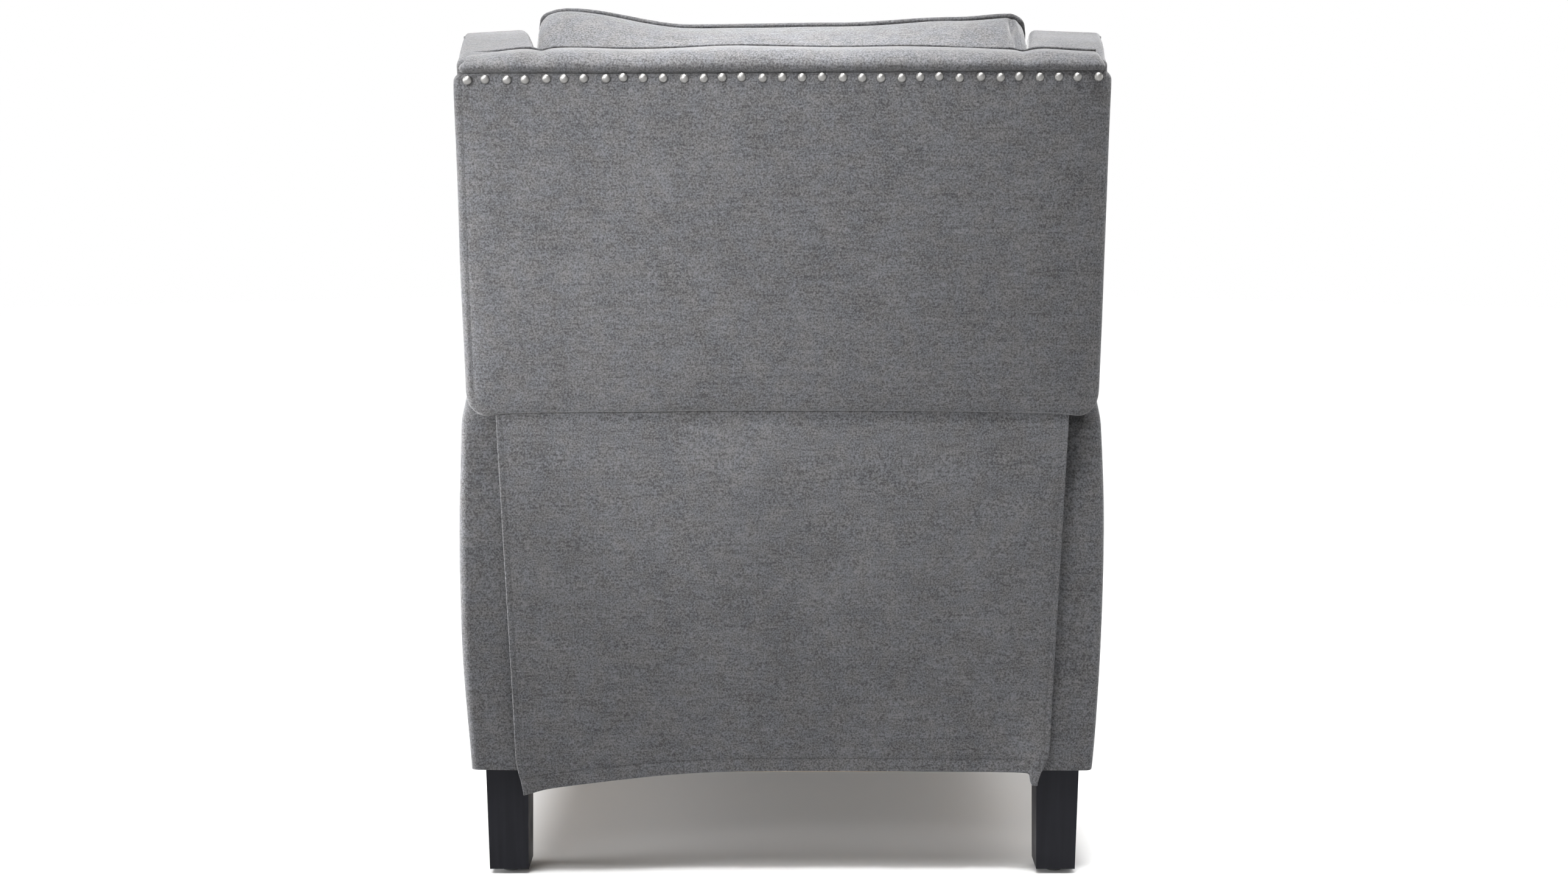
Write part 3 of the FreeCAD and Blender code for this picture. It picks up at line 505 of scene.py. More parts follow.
def steel_finish(name, colour, roughness, streak=300):
    """Rolled steel with fine streaks and uneven plating."""
    finish = Finish(name, metallic=1.0)
    rolled = finish.noise(finish.place(streak / 8, streak / 8, streak))
    cloud = finish.noise(scale=35)
    tone = finish.spread(rolled * 0.6 + cloud * 0.4, 0.35, 0.65)
    finish.feed(base_color=finish.blend(tone, opaque(colour, 0.72), opaque(colour)),
                roughness=finish.vary(cloud, roughness - 0.08, roughness + 0.1))
    finish.bump(rolled, 0.1, 0.0003)
    return finish.material


def nail_finish(look):
    """Satin pewter, a little darker where the plating is thin."""
    finish = Finish("nail_metal", metallic=1.0)
    cloud = finish.noise(scale=160, detail=1.0)
    share = finish.spread(cloud, 0.35, 0.7)
    finish.feed(base_color=finish.blend(share, opaque(look.nail_colour), opaque(look.nail_colour, 0.85)),
                roughness=finish.vary(cloud, 0.44, 0.5))
    return finish.material


def plastic_finish():
    """Black moulded plastic with a fine speckle."""
    finish = Finish("glide_plastic", specular_ior_level=0.4)
    speck = finish.noise(scale=420)
    finish.feed(base_color=finish.blend(speck, (0.05, 0.05, 0.05, 1.0), (0.09, 0.09, 0.088, 1.0)),
                roughness=finish.vary(speck, 0.4, 0.6))
    finish.bump(speck, 0.1, 0.0002)
    return finish.material


FINISHES = {}


def finish_for(name):
    """A finish by its slot's name, made the first time it is asked for."""
    if not FINISHES:
        look = bpy.context.scene.recliner
        FINISHES.update({
            "upholstery": cloth_finish(look, "upholstery"),
            # The welt finish is the upholstery cloth at three quarters of its brightness: painted shade on
            # the welt cords, the threads and the roll's crease cord.
            "welt": cloth_finish(look, "welt", 0.75),
            "leg_wood": leg_finish(look),
            "frame_wood": timber_finish(),
            "plate_steel": steel_finish("plate_steel", (0.3, 0.3, 0.31), 0.42),
            "pin_steel": steel_finish("pin_steel", (0.62, 0.61, 0.58), 0.3),
            "spring_steel": steel_finish("spring_steel", (0.2, 0.2, 0.22), 0.38, 600),
            "nail_metal": nail_finish(look),
            "glide_plastic": plastic_finish(),
        })
    return FINISHES[name]


def dress(piece, body, slot="upholstery", node=None, finish=None):
    """Give a piece its finish, the body it rides on and the node it stands for."""
    piece.data.materials.clear()
    piece.data.materials.append(finish_for(finish or slot))
    if body:
        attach(piece, body)
    if node:
        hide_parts(node)


def cover(skin, name, body, node):
    """Sew a skin into a smooth padded piece that stands for a node."""
    dress(smoothed(skin.object(name)), body, node=node)


# Arms

ARM_LOW, ARM_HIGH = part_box("arm_cover_left")
ARM_ROUND = 0.022
ARM_SIDE_ROUND = 0.006
ARM_END_ROUND = 0.008
ARM_SWELL = 0.005
ARM_SWELL_RUN = 0.025
ARM_BELLY = 0.003
ARM_BELLY_Z = 0.51
ARM_BELLY_REACH = 0.07
ARM_CROWN = 0.003
ARM_CROWN_Z = (0.56, 0.61)
HEM = ARM_LOW.z + 0.0045
HEM_TUCK = 0.0205
WELT_INSET = 0.005
WELT_REACH = 0.012
WELT_FOOT = 0.002
SIDE_BULGE = 0.009
FULLER = {1: 0.0045, -1: 0.0025}
SHOULDER = 0.545
SLANT_RUN = 0.095
INNER_PAD = 0.0085
PAD_LOW = 0.400
PAD_REAR = 0.190
FRONT_RETURN = 0.318
STEP = 0.006


def arm_skin(sign):
    """One arm, bulged outside, padded inside above the seat and ahead of the back, slanted behind."""
    low, high = ARM_LOW, ARM_HIGH
    inner, outer = low.x, high.x - SIDE_BULGE
    middle, half = (low.z + high.z - ARM_ROUND) / 2, (high.z - ARM_ROUND - low.z) / 2
    skin = Skin(
        lines(inner, outer, CELL, ARM_SIDE_ROUND),
        lines(low.y, high.y, CELL, ARM_END_ROUND, (-FRONT_RETURN, PAD_REAR)),
        lines(low.z - HEM_TUCK, high.z, CELL, ARM_ROUND, (PAD_LOW,)),
    )
    skin.rounded(ARM_SIDE_ROUND, ARM_END_ROUND, ARM_ROUND)

    def shape(x, y, z):
        share = np.clip((x - inner) / (outer - inner), 0, 1)
        z = np.maximum(z, HEM)
        bulge = np.clip(1 - ((z - middle) / half) ** 2, 0, 1)
        below = smooth(PAD_LOW + STEP, PAD_LOW - STEP, z)
        below = below * smooth(-FRONT_RETURN - STEP, -FRONT_RETURN + STEP, y)
        behind = smooth(PAD_REAR - STEP, PAD_REAR + STEP, y)
        recess = np.maximum(below, behind) * np.clip(1 - 3 * share, 0, 1)
        seam = np.minimum(high.y - y, y - low.y)
        drawn = ARM_SWELL * (1 - np.sqrt(np.clip(seam / ARM_SWELL_RUN, 0, 1)))
        x = x + (SIDE_BULGE * bulge + FULLER[sign] - drawn) * share ** 2 + INNER_PAD * recess
        belly = ARM_BELLY * (1 - recess) * (1 - share) ** 2
        x = x - belly * dent(z - ARM_BELLY_Z, ARM_BELLY_REACH) * (1 - behind)
        rear = high.y - SLANT_RUN * np.clip((z - SHOULDER) / (high.z - SHOULDER), 0, 1)
        y = low.y + (y - low.y) * (rear - low.y) / (high.y - low.y)
        z = z + ARM_CROWN * smooth(*ARM_CROWN_Z, z) * np.sin(math.pi * share)
        return np.column_stack((sign * x, y, z))

    skin.shape(shape)
    return skin


class RECLINER_OT_arms(bpy.types.Operator):
    """Upholster both arms and pipe their front edges"""
    bl_idname = "recliner.arms"
    bl_label = "Arms"

    def execute(self, context):
        welts = []
        for side, sign in SIDES:
            skin = arm_skin(sign)
            skin.uneven(height=0.0011, reach=0.11, seed=3 * sign)
            front = skin.points[skin.ring(1, False)].copy()
            inside = smooth(ARM_LOW.x + WELT_REACH, ARM_LOW.x, np.abs(front[:, 0]))
            front[:, 0] += sign * WELT_INSET * inside
            welts.append((front[front[:, 2] > HEM + WELT_FOOT], (0, 1, 0), False))
            cover(skin, f"arm_{side}", "base", f"arm_cover_{side}")
        piping("arm_welts", "base", welts)
        return {"FINISHED"}


# Outside back, top roll and nails

PANEL_EDGE = 0.009
PANEL_EDGE_RISE = 0.7 * PANEL_EDGE
PANEL_TIGHT = 0.6
PANEL_TIGHT_RISE = 0.012
PANEL_SIDE_ROLL = 0.004
PANEL_SIDE_PARTS = 8
PANEL_TAPER = 0.0045
PANEL_FULL = 0.0045
PANEL_CORNER = 0.026
PANEL_TOP_CORNER = 0.013
PANEL_CROWN = 0.0035
ARCH_HALF = 0.322
ARCH_RISE = 0.004
ARCH_STEP = 0.003
ARCH_STEP_HALF = 0.332
ARCH_FADE = 0.07
TOP_TILT = 0.0026
TILT_RUN = (0.15, -0.34)
TILT_FOOT = 0.3
BORDER = 0.0105
SEAM_DENT = 0.0013
SEAM_WIDTH = 0.0022
SEAM_FOOT = 0.04
SEAM_LEAN = 0.012
THREAD_PROUD = 0.0022
THREAD_FOOT = 0.03
THREAD_STEPS = 200
NAIL_LOW, NAIL_HIGH = lean_box("nail_heads")
NAIL_RISE = (NAIL_LOW[2] + NAIL_HIGH[2]) / 2
NAIL_COUNT = 33
NAIL_DENT = 0.0012
NAIL_CLEAR = 0.008
NAIL_SAG = 0.0022
NAIL_SAG_RUN = (0.16, 0.34)
NAIL_TILT = 0.4
NAIL_STRAY = 0.0014
NAIL_LIFT = 0.0008
NAIL_PLACE_SEED = 11


def top_tilt(x):
    """The top of the back stands a little higher at its right end."""
    return TOP_TILT * smooth(*TILT_RUN, x)


def nail_spots():
    """Where each nail sits across and up the back, a little out of line as hand-driven nails are."""
    draw = random.Random(NAIL_PLACE_SEED)
    reach = NAIL_HIGH[0] - (NAIL_HIGH[2] - NAIL_LOW[2]) / 2
    spots = []
    for place in np.linspace(-reach, reach, NAIL_COUNT):
        sag = NAIL_SAG * float(smooth(*NAIL_SAG_RUN, place)) - NAIL_TILT * float(top_tilt(place))
        across = place + draw.uniform(-NAIL_STRAY, NAIL_STRAY)
        spots.append((across, NAIL_RISE - sag + draw.uniform(-NAIL_LIFT, NAIL_LIFT)))
    return spots


class RECLINER_OT_outside_back(bpy.types.Operator):
    """Stretch the outside back over its frame, with a sewn border and a dent under each nail"""
    bl_idname = "recliner.outside_back"
    bl_label = "Outside back"

    def execute(self, context):
        half = PANEL_HIGH.x + PANEL_FULL
        seam = half - BORDER
        skin = Skin(
            lines(-half, half, CELL, PANEL_EDGE, (-seam, seam)),
            lines(0, PANEL_THICK, CELL, PANEL_EDGE),
            lines(0, PANEL_HEIGHT, CELL, PANEL_EDGE, (NAIL_RISE,)),
        )
        skin.rounded(PANEL_EDGE, PANEL_EDGE, PANEL_EDGE_RISE)
        for end in (False, True):
            skin.corner(0, 2, (end, False), PANEL_CORNER)
            skin.corner(0, 2, (end, True), PANEL_TOP_CORNER)

        def shape(x, depth, rise):
            edge = PANEL_EDGE * (1 - PANEL_TIGHT * smooth(PANEL_TIGHT_RISE, 0.0, rise))
            depth = np.where(depth < PANEL_EDGE, depth * edge / PANEL_EDGE,
                             edge + (depth - PANEL_EDGE) * (PANEL_THICK - edge) / (PANEL_THICK - PANEL_EDGE))
            outer = np.clip(1 - depth / PANEL_THICK, 0, 1)
            wide, tall = x / half, 2 * rise / PANEL_HEIGHT - 1
            crown = PANEL_CROWN * (1 - wide ** 4) * (1 - tall ** 4)
            side = np.clip(np.abs(x) / half * PANEL_SIDE_PARTS - (PANEL_SIDE_PARTS - 1), 0, 1)
            crown = crown - PANEL_SIDE_ROLL * side ** 2
            sunk = SEAM_DENT * dent(np.abs(x) - seam, SEAM_WIDTH) * smooth(0.0, SEAM_FOOT, rise)
            for across, up in nail_spots():
                sunk = sunk + NAIL_DENT * dent(np.hypot(x - across, rise - up), NAIL_CLEAR)
            depth = depth - outer * (crown - sunk)
            arch = ARCH_STEP * smooth(ARCH_STEP_HALF, ARCH_HALF, np.abs(x))
            arch = arch + ARCH_RISE * np.clip(1 - (x / ARCH_HALF) ** 2, 0, 1)
            tilt = top_tilt(x) * smooth(TILT_FOOT, PANEL_HEIGHT, rise)
            rise = rise + arch * smooth(ARCH_FADE, 0.0, rise) + tilt
            return on_back(x * (1 - PANEL_TAPER / half * rise / PANEL_HEIGHT), depth, rise)

        skin.shape(shape)
        skin.uneven(height=0.0009, reach=0.13, seed=5)
        rises = np.linspace(THREAD_FOOT, NAIL_RISE - NAIL_CLEAR, THREAD_STEPS)
        across = seam * (1 - SEAM_LEAN * rises / PANEL_HEIGHT)
        seams = [on_back(end * across, np.full_like(rises, -THREAD_PROUD), rises) for end in (-1, 1)]
        thread = stitches("outside_back_stitches", seams, BACK_OUT)
        cover(skin, "outside_back_cover", "back", "outside_back")
        dress(thread, "back", finish="welt")
        return {"FINISHED"}


ROLL_PROUD = 0.002
ROLL_TUCK = 0.003
ROLL_LOW = 1.4
ROLL_INSET = 0.005
ROLL_CELL = 0.007
ROLL_EDGES = (0.008, 0.02, 0.011)
ROLL_ROUND = (0.008, 0.022, 0.0125)
ROLL_DIP = 0.003
ROLL_DIP_OFF = 0.003
ROLL_DIP_WIDTH = 0.009
ROLL_END_DROP = 0.005
ROLL_END_OFF = 0.01
ROLL_WAVE, ROLL_WAVE_RUN = 0.001, 0.031
ROLL_SWELL, ROLL_SWELL_RUN = 0.0012, 0.083
ROLL_LEVEL = 0.7
ROLL_TAPER = 0.012
CREASE = 0.0014
CREASE_BACK = 0.014
CREASE_SHARE = 0.984
CREASE_STEPS = 220


class RECLINER_OT_top_roll(bpy.types.Operator):
    """Lay the soft roll along the top of the back, from wing to wing, with a dark cord along its crest as a
    painted shadow line
    """
    bl_idname = "recliner.top_roll"
    bl_label = "Top roll"

    def execute(self, context):
        _, high = lean_box("back_top_roll")
        half = PANEL_HIGH.x + PANEL_FULL - PANEL_TAPER - ROLL_INSET
        gap = high[0]
        skin = Skin(
            lines(-half, half, CELL, ROLL_EDGES[0], (-gap, gap)),
            lines(-ROLL_PROUD, high[1] + ROLL_PROUD, ROLL_CELL, ROLL_EDGES[1]),
            lines(PANEL_HEIGHT - ROLL_TUCK, high[2], ROLL_CELL, ROLL_EDGES[2]),
        )
        skin.rounded(*ROLL_ROUND)

        def shape(x, depth, rise):
            base = PANEL_HEIGHT - ROLL_TUCK
            rise = base + (high[2] - base) * np.clip((rise - base) / (high[2] - base), 0, 1) ** ROLL_LOW
            top = smooth(PANEL_HEIGHT, high[2], rise)
            far = np.abs(x)
            drop = ROLL_DIP * dent(far - gap - ROLL_DIP_OFF, ROLL_DIP_WIDTH)
            drop = drop + ROLL_END_DROP * smooth(gap + ROLL_END_OFF, half, far)
            full = ROLL_WAVE * np.sin(x / ROLL_WAVE_RUN) + ROLL_SWELL * np.cos(x / ROLL_SWELL_RUN)
            rise = rise - top * (drop - full) + top_tilt(x) * (1 - ROLL_LEVEL * top)
            return on_back(x * (1 - ROLL_TAPER * top), depth, rise)

        skin.shape(shape)
        skin.uneven(height=0.001, reach=0.06, seed=9)
        # A thin cord of the darker welt cloth along the crest stands for the dark line where the roll meets
        # the cushion and wings: a painted shadow line.
        x = np.linspace(-half, half, CREASE_STEPS) * CREASE_SHARE
        crease = shape(x, np.full_like(x, high[1] - CREASE_BACK), np.full_like(x, high[2]))
        cover(skin, "top_roll", "back", "back_top_roll")
        piping("top_roll_crease_shadow", "back", [(crease, (0, 0, 1), False)], CREASE)
        return {"FINISHED"}


NAIL_PROFILE = ((0.0, 1.0), (0.22, 0.975), (0.44, 0.89), (0.64, 0.75), (0.81, 0.55), (0.92, 0.32),
                (0.97, 0.14), (1.0, 0.08), (1.0, -0.2))
NAIL_SIDES = 20
NAIL_LEAN = 0.03
NAIL_LEAN_SEED = 23


class RECLINER_OT_nails(bpy.types.Operator):
    """Drive a row of domed nails below the top roll"""
    bl_idname = "recliner.nails"
    bl_label = "Nail heads"

    def execute(self, context):
        radius = context.scene.recliner.nail_radius
        rise = -NAIL_LOW[1]
        draw = random.Random(NAIL_LEAN_SEED)
        points, faces = [], []
        for across, up in nail_spots():
            start = len(points)
            lean = (draw.uniform(-NAIL_LEAN, NAIL_LEAN), draw.uniform(-NAIL_LEAN, NAIL_LEAN))
            spots = [(0.0, 0.0, NAIL_PROFILE[0][1])]
            for share, height in NAIL_PROFILE[1:]:
                spots += [(share * cos, share * sin, height) for cos, sin in circle(NAIL_SIDES)]
            for one, two, height in spots:
                tipped = height * rise + radius * (one * lean[0] + two * lean[1])
                points.append((across + radius * one, -tipped, up + radius * two))
            faces += [(start + 1 + (k + 1) % NAIL_SIDES, start + 1 + k, start) for k in range(NAIL_SIDES)]
            *dome, _, foot = tube_faces(start + 1, len(NAIL_PROFILE) - 1, NAIL_SIDES)
            faces += dome + [foot]
        row = linked("nail_row", on_back(*np.transpose(points)), faces)
        dress(row, "back", "nail_metal", "nail_heads")
        return {"FINISHED"}


# Wings

WING_ROUND = 0.0065
WING_FLARE = 0.024
WING_TOP_FLARE = {1: 0.004, -1: -0.0045}
WING_SLANT = {1: 0.0137, -1: 0.0066}
WING_OUT = 0.016
WING_PEAK = 0.005
WING_SWEEP = 0.010
WING_SLANT_RUN = 0.05
WING_CLEAR = 0.009
WING_CHIN = 0.027
WING_HEEL = 0.004
WING_TIP = (0.150, 0.021)
WING_NAPE = (0.004, 0.012)
WING_ARCH = 0.004
WING_PAD = 0.005


def wing_skin(sign):
    """One wing: its side outline is a patch between its foot, front, top and rear lines."""
    low, high = lean_box("wing_left")
    crest = leaned(ARM_HIGH.y - SLANT_RUN, ARM_HIGH.z + WING_CLEAR)
    chin = (high[1], WING_CHIN)
    heel = (PANEL_THICK - WING_HEEL, low[2] + WING_HEEL)
    tip = (WING_TIP[0], PANEL_HEIGHT + WING_TIP[1])
    nape = (WING_NAPE[0], PANEL_HEIGHT + WING_NAPE[1])
    bend = (crest[0] - heel[0]) / (chin[0] - heel[0])

    def patch(forward, up):
        """Depth and rise at a share of the way forward and of the way up."""
        outline = []
        for k in (0, 1):
            bottom = np.interp(forward, (0, bend, 1), (heel[k], crest[k], chin[k]))
            top = nape[k] + (tip[k] - nape[k]) * forward
            rear = heel[k] + (nape[k] - heel[k]) * up
            front = chin[k] + (tip[k] - chin[k]) * up
            flat = ((1 - forward) * (1 - up) * heel[k] + forward * (1 - up) * chin[k]
                    + (1 - forward) * up * nape[k] + forward * up * tip[k])
            outline.append((1 - up) * bottom + up * top + (1 - forward) * rear + forward * front - flat)
        depth, rise = outline
        depth = depth - WING_SWEEP * forward * np.sin(math.pi * up)
        rise = rise + WING_ARCH * up * np.sin(math.pi * forward)
        return depth, rise

    width, deep, tall = high[0] - low[0], chin[0] - heel[0], nape[1] - heel[1]
    skin = Skin(*(lines(0, size, CELL, WING_ROUND) for size in (width, deep, tall)))
    skin.rounded(WING_ROUND)

    def shape(x, forward, up):
        share, up = x / width, up / tall
        depth, rise = patch(forward / deep, up)
        ahead = np.clip((depth - PANEL_THICK) / (chin[0] - PANEL_THICK), 0, 1)
        inner = low[0] + WING_FLARE * ahead + WING_TOP_FLARE[sign] * ahead * smooth(0.2, 1.0, up)
        inner = inner + WING_SLANT[sign] * ahead * np.clip((up - (1 - WING_SLANT_RUN)) / WING_SLANT_RUN, 0, 1)
        outer = high[0] + WING_OUT * ahead * smooth(0.3, 1.0, up)
        pad = WING_PAD * np.clip(1 - 4 * share, 0, 1) * np.sin(math.pi * np.clip(up, 0, 1)) * ahead
        across = inner + (outer - inner) * share - pad
        rise = rise + WING_PEAK * (1 - share) * ahead * smooth(0.8, 1.0, up)
        return on_back(sign * across, depth, rise)

    skin.shape(shape)
    return skin


class RECLINER_OT_wings(bpy.types.Operator):
    """Pad both wings and pipe their front edges"""
    bl_idname = "recliner.wings"
    bl_label = "Wings"

    def execute(self, context):
        welts = []
        for side, sign in SIDES:
            skin = wing_skin(sign)
            skin.uneven(height=0.0012, reach=0.08, seed=13 * sign)
            across, deep = (len(skin.axes[k]) - 1 for k in (0, 1))
            edge = [skin.number[(across, deep, k)] for k in range(2, len(skin.axes[2]) - 2)]
            welts.append((skin.points[edge], (1, 0, 0), False))
            cover(skin, f"wing_{side}_cover", "back", f"wing_{side}")
        piping("wing_welts", "back", welts)
        return {"FINISHED"}


# Cushions

CUSHION_EDGE = 0.007
DOME_SQUARE = 2.6
DOME_FULL = 0.75
BOXING_PULL = 0.004
REAR_DROP = 0.046
PLEAT = 0.009
PLEATS = (-0.2555, -0.2455)
FOLD_OUTER = -0.259
FOLD_INNER = -0.246
FOLD_RUN = 0.014
FOLD_WIDTH = 0.003
FOLD_SHARE = 0.7
SPREAD_REAR = 0.025
SPREAD_FRONT = 0.045
FRONT_SAG = 0.028
CREST_PLACES = (-0.262, -0.246, -0.19, -0.06, 0.1, 0.232, 0.262)
CREST_LIFTS = (-0.008, -0.005, -0.009, -0.0155, -0.0175, 0.001, -0.003)
NOSE_DROP = 0.006


def cushion_skin(width, height, boxing, place, crown, corner, pressure, reach, pleats=()):
    """A boxed cushion: a face of width by height with a crown, sewn to a boxing strip, its rear face flat.

    place sets points given across, up and out in the frame. It returns the skin and both its seams.
    """
    skin = Skin(
        lines(-width / 2, width / 2, CELL, CUSHION_EDGE, pleats),
        lines(0, height, CELL, CUSHION_EDGE),
        lines(0, boxing, CELL, CUSHION_EDGE),
    )
    skin.rounded(CUSHION_EDGE)
    for side in (False, True):
        for end in (False, True):
            skin.corner(0, 1, (side, end), corner)

    def shape(across, up, out):
        wide, tall = 2 * across / width, 2 * up / height - 1
        dome = (1 - np.abs(wide) ** DOME_SQUARE) * (1 - np.abs(tall) ** DOME_SQUARE)
        face = smooth(0.6 * boxing, boxing, out)
        pull = BOXING_PULL * np.sin(math.pi * np.clip(out / boxing, 0, 1))
        across = across * (1 + pull / width)
        out = out + face * crown * np.clip(dome, 0, 1) ** DOME_FULL
        return place(across, up, out)

    skin.shape(shape)
    front, rear = skin.ring(2, True), skin.ring(2, False)
    skin.swell(set(front) | set(skin.side(2, False)), pressure, reach)
    return skin, front, rear


class RECLINER_OT_back_cushion(bpy.types.Operator):
    """Fill the loose back cushion and pipe the edge of its face"""
    bl_idname = "recliner.back_cushion"
    bl_label = "Back cushion"

    def execute(self, context):
        low, high = lean_box("back_cushion")
        width, deep, height = high - low
        boxing = 0.72 * deep

        def place(across, up, out):
            top = smooth(0.55 * height, height, up)
            lift = along(CREST_PLACES, CREST_LIFTS, across)
            behind = np.clip(1 - out / boxing, 0, 1)
            above = smooth(0.3 * height, 0.55 * height, up)
            across = across * (1 + above * (SPREAD_FRONT * (1 - behind) + SPREAD_REAR * behind))
            inner = dent(across - FOLD_INNER + FOLD_RUN * (1 - behind), FOLD_WIDTH)
            fold = dent(across - FOLD_OUTER, FOLD_WIDTH) + FOLD_SHARE * inner
            folded = PLEAT * fold * smooth(0.9 * height, height, up) * smooth(1.0, 0.8, 1 - behind)
            sag = FRONT_SAG * smooth(0.3 * height, 0.0, up) * (1 - behind) ** 1.5
            up = up + top * (lift - REAR_DROP * behind ** 1.6) - folded - sag
            return on_back(across, low[1] + out, low[2] + up)

        skin, front, _ = cushion_skin(width, height, boxing, place, crown=0.8 * (deep - boxing), corner=0.017,
                                      pressure=4.0, reach=0.022, pleats=PLEATS)
        skin.uneven(height=0.0016, reach=0.07, seed=17, still=front)
        welt = [(proud(skin, front), -BACK_OUT, True)]
        cover(skin, "back_cushion_cover", "back", "back_cushion")
        piping("back_cushion_welt", "back", welt)
        return {"FINISHED"}


class RECLINER_OT_seat_cushion(bpy.types.Operator):
    """Fill the seat cushion and pipe its upper and lower edges"""
    bl_idname = "recliner.seat_cushion"
    bl_label = "Seat cushion"

    def execute(self, context):
        low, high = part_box("seat_cushion")
        width, long, thick = high - low
        boxing = 0.78 * thick

        def place(across, up, out):
            nose = smooth(0.1 * long, 0.0, up)
            out = out - NOSE_DROP * nose * smooth(0.5 * boxing, boxing, out)
            return np.column_stack((across, low.y + up, low.z + out))

        skin, top, bottom = cushion_skin(width, long, boxing, place, crown=0.72 * (thick - boxing),
                                         corner=0.032, pressure=4.0, reach=0.022)
        skin.uneven(height=0.0016, reach=0.08, seed=19, still=top)
        welts = [(proud(skin, top), (0, 0, 1), True), (proud(skin, bottom), (0, 0, 1), True)]
        cover(skin, "seat_cushion_cover", "seat", "seat_cushion")
        piping("seat_cushion_welts", "seat", welts)
        return {"FINISHED"}


class RECLINER_OT_legrest(bpy.types.Operator):
    """Pad the legrest board and pipe the edge of its face"""
    bl_idname = "recliner.legrest"
    bl_label = "Legrest pad"

    def execute(self, context):
        low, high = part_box("legrest_pad")
        width, thick, tall = high - low
        boxing = 0.62 * thick

        def place(across, up, out):
            return np.column_stack((across, high.y - out, low.z + up))

        skin, face, _ = cushion_skin(width, tall, boxing, place, crown=0.7 * (thick - boxing), corner=0.014,
                                     pressure=3.0, reach=0.008)
        skin.uneven(height=0.001, reach=0.07, seed=29, still=face)
        welt = [(proud(skin, face), (0, 1, 0), True)]
        cover(skin, "legrest_pad_cover", "legrest", "legrest_pad")
        piping("legrest_welt", "legrest", welt)
        return {"FINISHED"}


# Rear flap

FLAP_TOP_Y = 0.3562
FLAP_FOOT_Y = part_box("rear_flap")[0].y + 0.0015
FLAP_TUCK = 0.010
FLAP_HALF_LOW = 0.311
FLAP_HALF_HIGH = 0.3255
FLAP_REACH = BACK_Z + FLAP_TUCK - HEM
FLAP_HEM = 0.016 / FLAP_REACH
FLAP_EDGE = 1 - 0.0065 / FLAP_HALF_LOW
FLAP_BELLY = 0.006
FLAP_WAVE = 0.0035
FLAP_CURL = 0.006
FLAP_SINK = 0.0005
FLAP_THREAD_OFF = 0.0002
FLAP_THREAD_RUN = (0.03, 0.97)
HEM_BOW = 0.002
HEM_DENT, HEM_WIDTH = 0.001, 0.005
EDGE_DENT, EDGE_WIDTH = 0.0005, 0.004
EAR_LEFT = 0.026
EAR_LEFT_CURVE = 2.1
EAR_LEFT_DRAW = 0.007
EAR_RIGHT = 0.014
EAR_RIGHT_DRAW = 0.012
EAR_RIGHT_RUN = (-0.93, -0.985)
EAR_RISE = 0.09


def flap_spots(share, up):
    """Places on the hanging flap, by share across, from -1 at its right edge to 1, and share upwards."""
    right = smooth(*EAR_RIGHT_RUN, share)
    drop = EAR_LEFT * np.maximum(share, 0) ** EAR_LEFT_CURVE + EAR_RIGHT * right + HEM_BOW * share ** 2
    z = HEM + FLAP_REACH * up - drop * (1 - up) ** 3
    x = share * (FLAP_HALF_LOW + (FLAP_HALF_HIGH - FLAP_HALF_LOW) * up)
    low = smooth(EAR_RISE, 0.0, up)
    x = x + EAR_RIGHT_DRAW * right * low - EAR_LEFT_DRAW * smooth(0.9, 1.0, share) * low
    belly = FLAP_BELLY * np.sin(math.pi * up) * (1 - 0.5 * share ** 2)
    wave = np.array([noise.noise(Vector((a * 2.2, b * 1.4, 4.0))) for a, b in zip(share, up)])
    curl = FLAP_CURL * smooth(0.86, 1.0, np.abs(share)) * smooth(0.25, 0.0, up)
    sunk = EDGE_DENT * dent(np.abs(share) - FLAP_EDGE, EDGE_WIDTH) + HEM_DENT * dent(up - FLAP_HEM, HEM_WIDTH)
    hang = FLAP_FOOT_Y + (FLAP_TOP_Y - FLAP_FOOT_Y) * up
    y = hang + belly + FLAP_WAVE * wave * (1 - up ** 4) + curl - sunk
    return np.column_stack((x, np.maximum(y, FLAP_FOOT_Y - FLAP_SINK), z))


class RECLINER_OT_rear_flap(bpy.types.Operator):
    """Hang the rear flap from the lower edge of the back, hemmed and with its corners loose"""
    bl_idname = "recliner.rear_flap"
    bl_label = "Rear flap"

    def execute(self, context):
        thickness = context.scene.recliner.flap_thickness
        across = np.array(lines(-1, 1, cell=0.017, edge=0.012, seams=(-FLAP_EDGE, FLAP_EDGE)))
        upward = np.array(lines(0, 1, cell=0.02, edge=0.01, seams=(FLAP_HEM,)))
        share, up = (grid.ravel() for grid in np.meshgrid(across, upward))
        wide, tall = len(across), len(upward)
        quads = [(j * wide + i + 1, j * wide + i, (j + 1) * wide + i, (j + 1) * wide + i + 1)
                 for j in range(tall - 1) for i in range(wide - 1)]
        flap = linked("rear_flap_cloth", flap_spots(share, up), quads)
        solid = flap.modifiers.new("thick", "SOLIDIFY")
        solid.thickness = thickness
        solid.offset = 1.0
        dress(smoothed(flap), None, node="rear_flap")
        rises = np.linspace(*FLAP_THREAD_RUN, 300)
        row = np.linspace(-FLAP_EDGE, FLAP_EDGE, 400)
        paths = [flap_spots(np.full_like(rises, end * FLAP_EDGE), rises) for end in (-1, 1)]
        paths.append(flap_spots(row, np.full_like(row, FLAP_HEM)))
        paths = [path + (0, thickness + FLAP_THREAD_OFF, 0) for path in paths]
        thread = stitches("flap_stitches", paths, (0, 1, 0))
        dress(thread, None, finish="welt")
        for piece in (flap, thread):
            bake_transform(piece)
        return {"FINISHED"}


# Wood and metal of the frame

BEVELLED = ("leg_rear_left", "leg_rear_right", "leg_front_left", "leg_front_right")
LEG_BEVEL = 0.0016


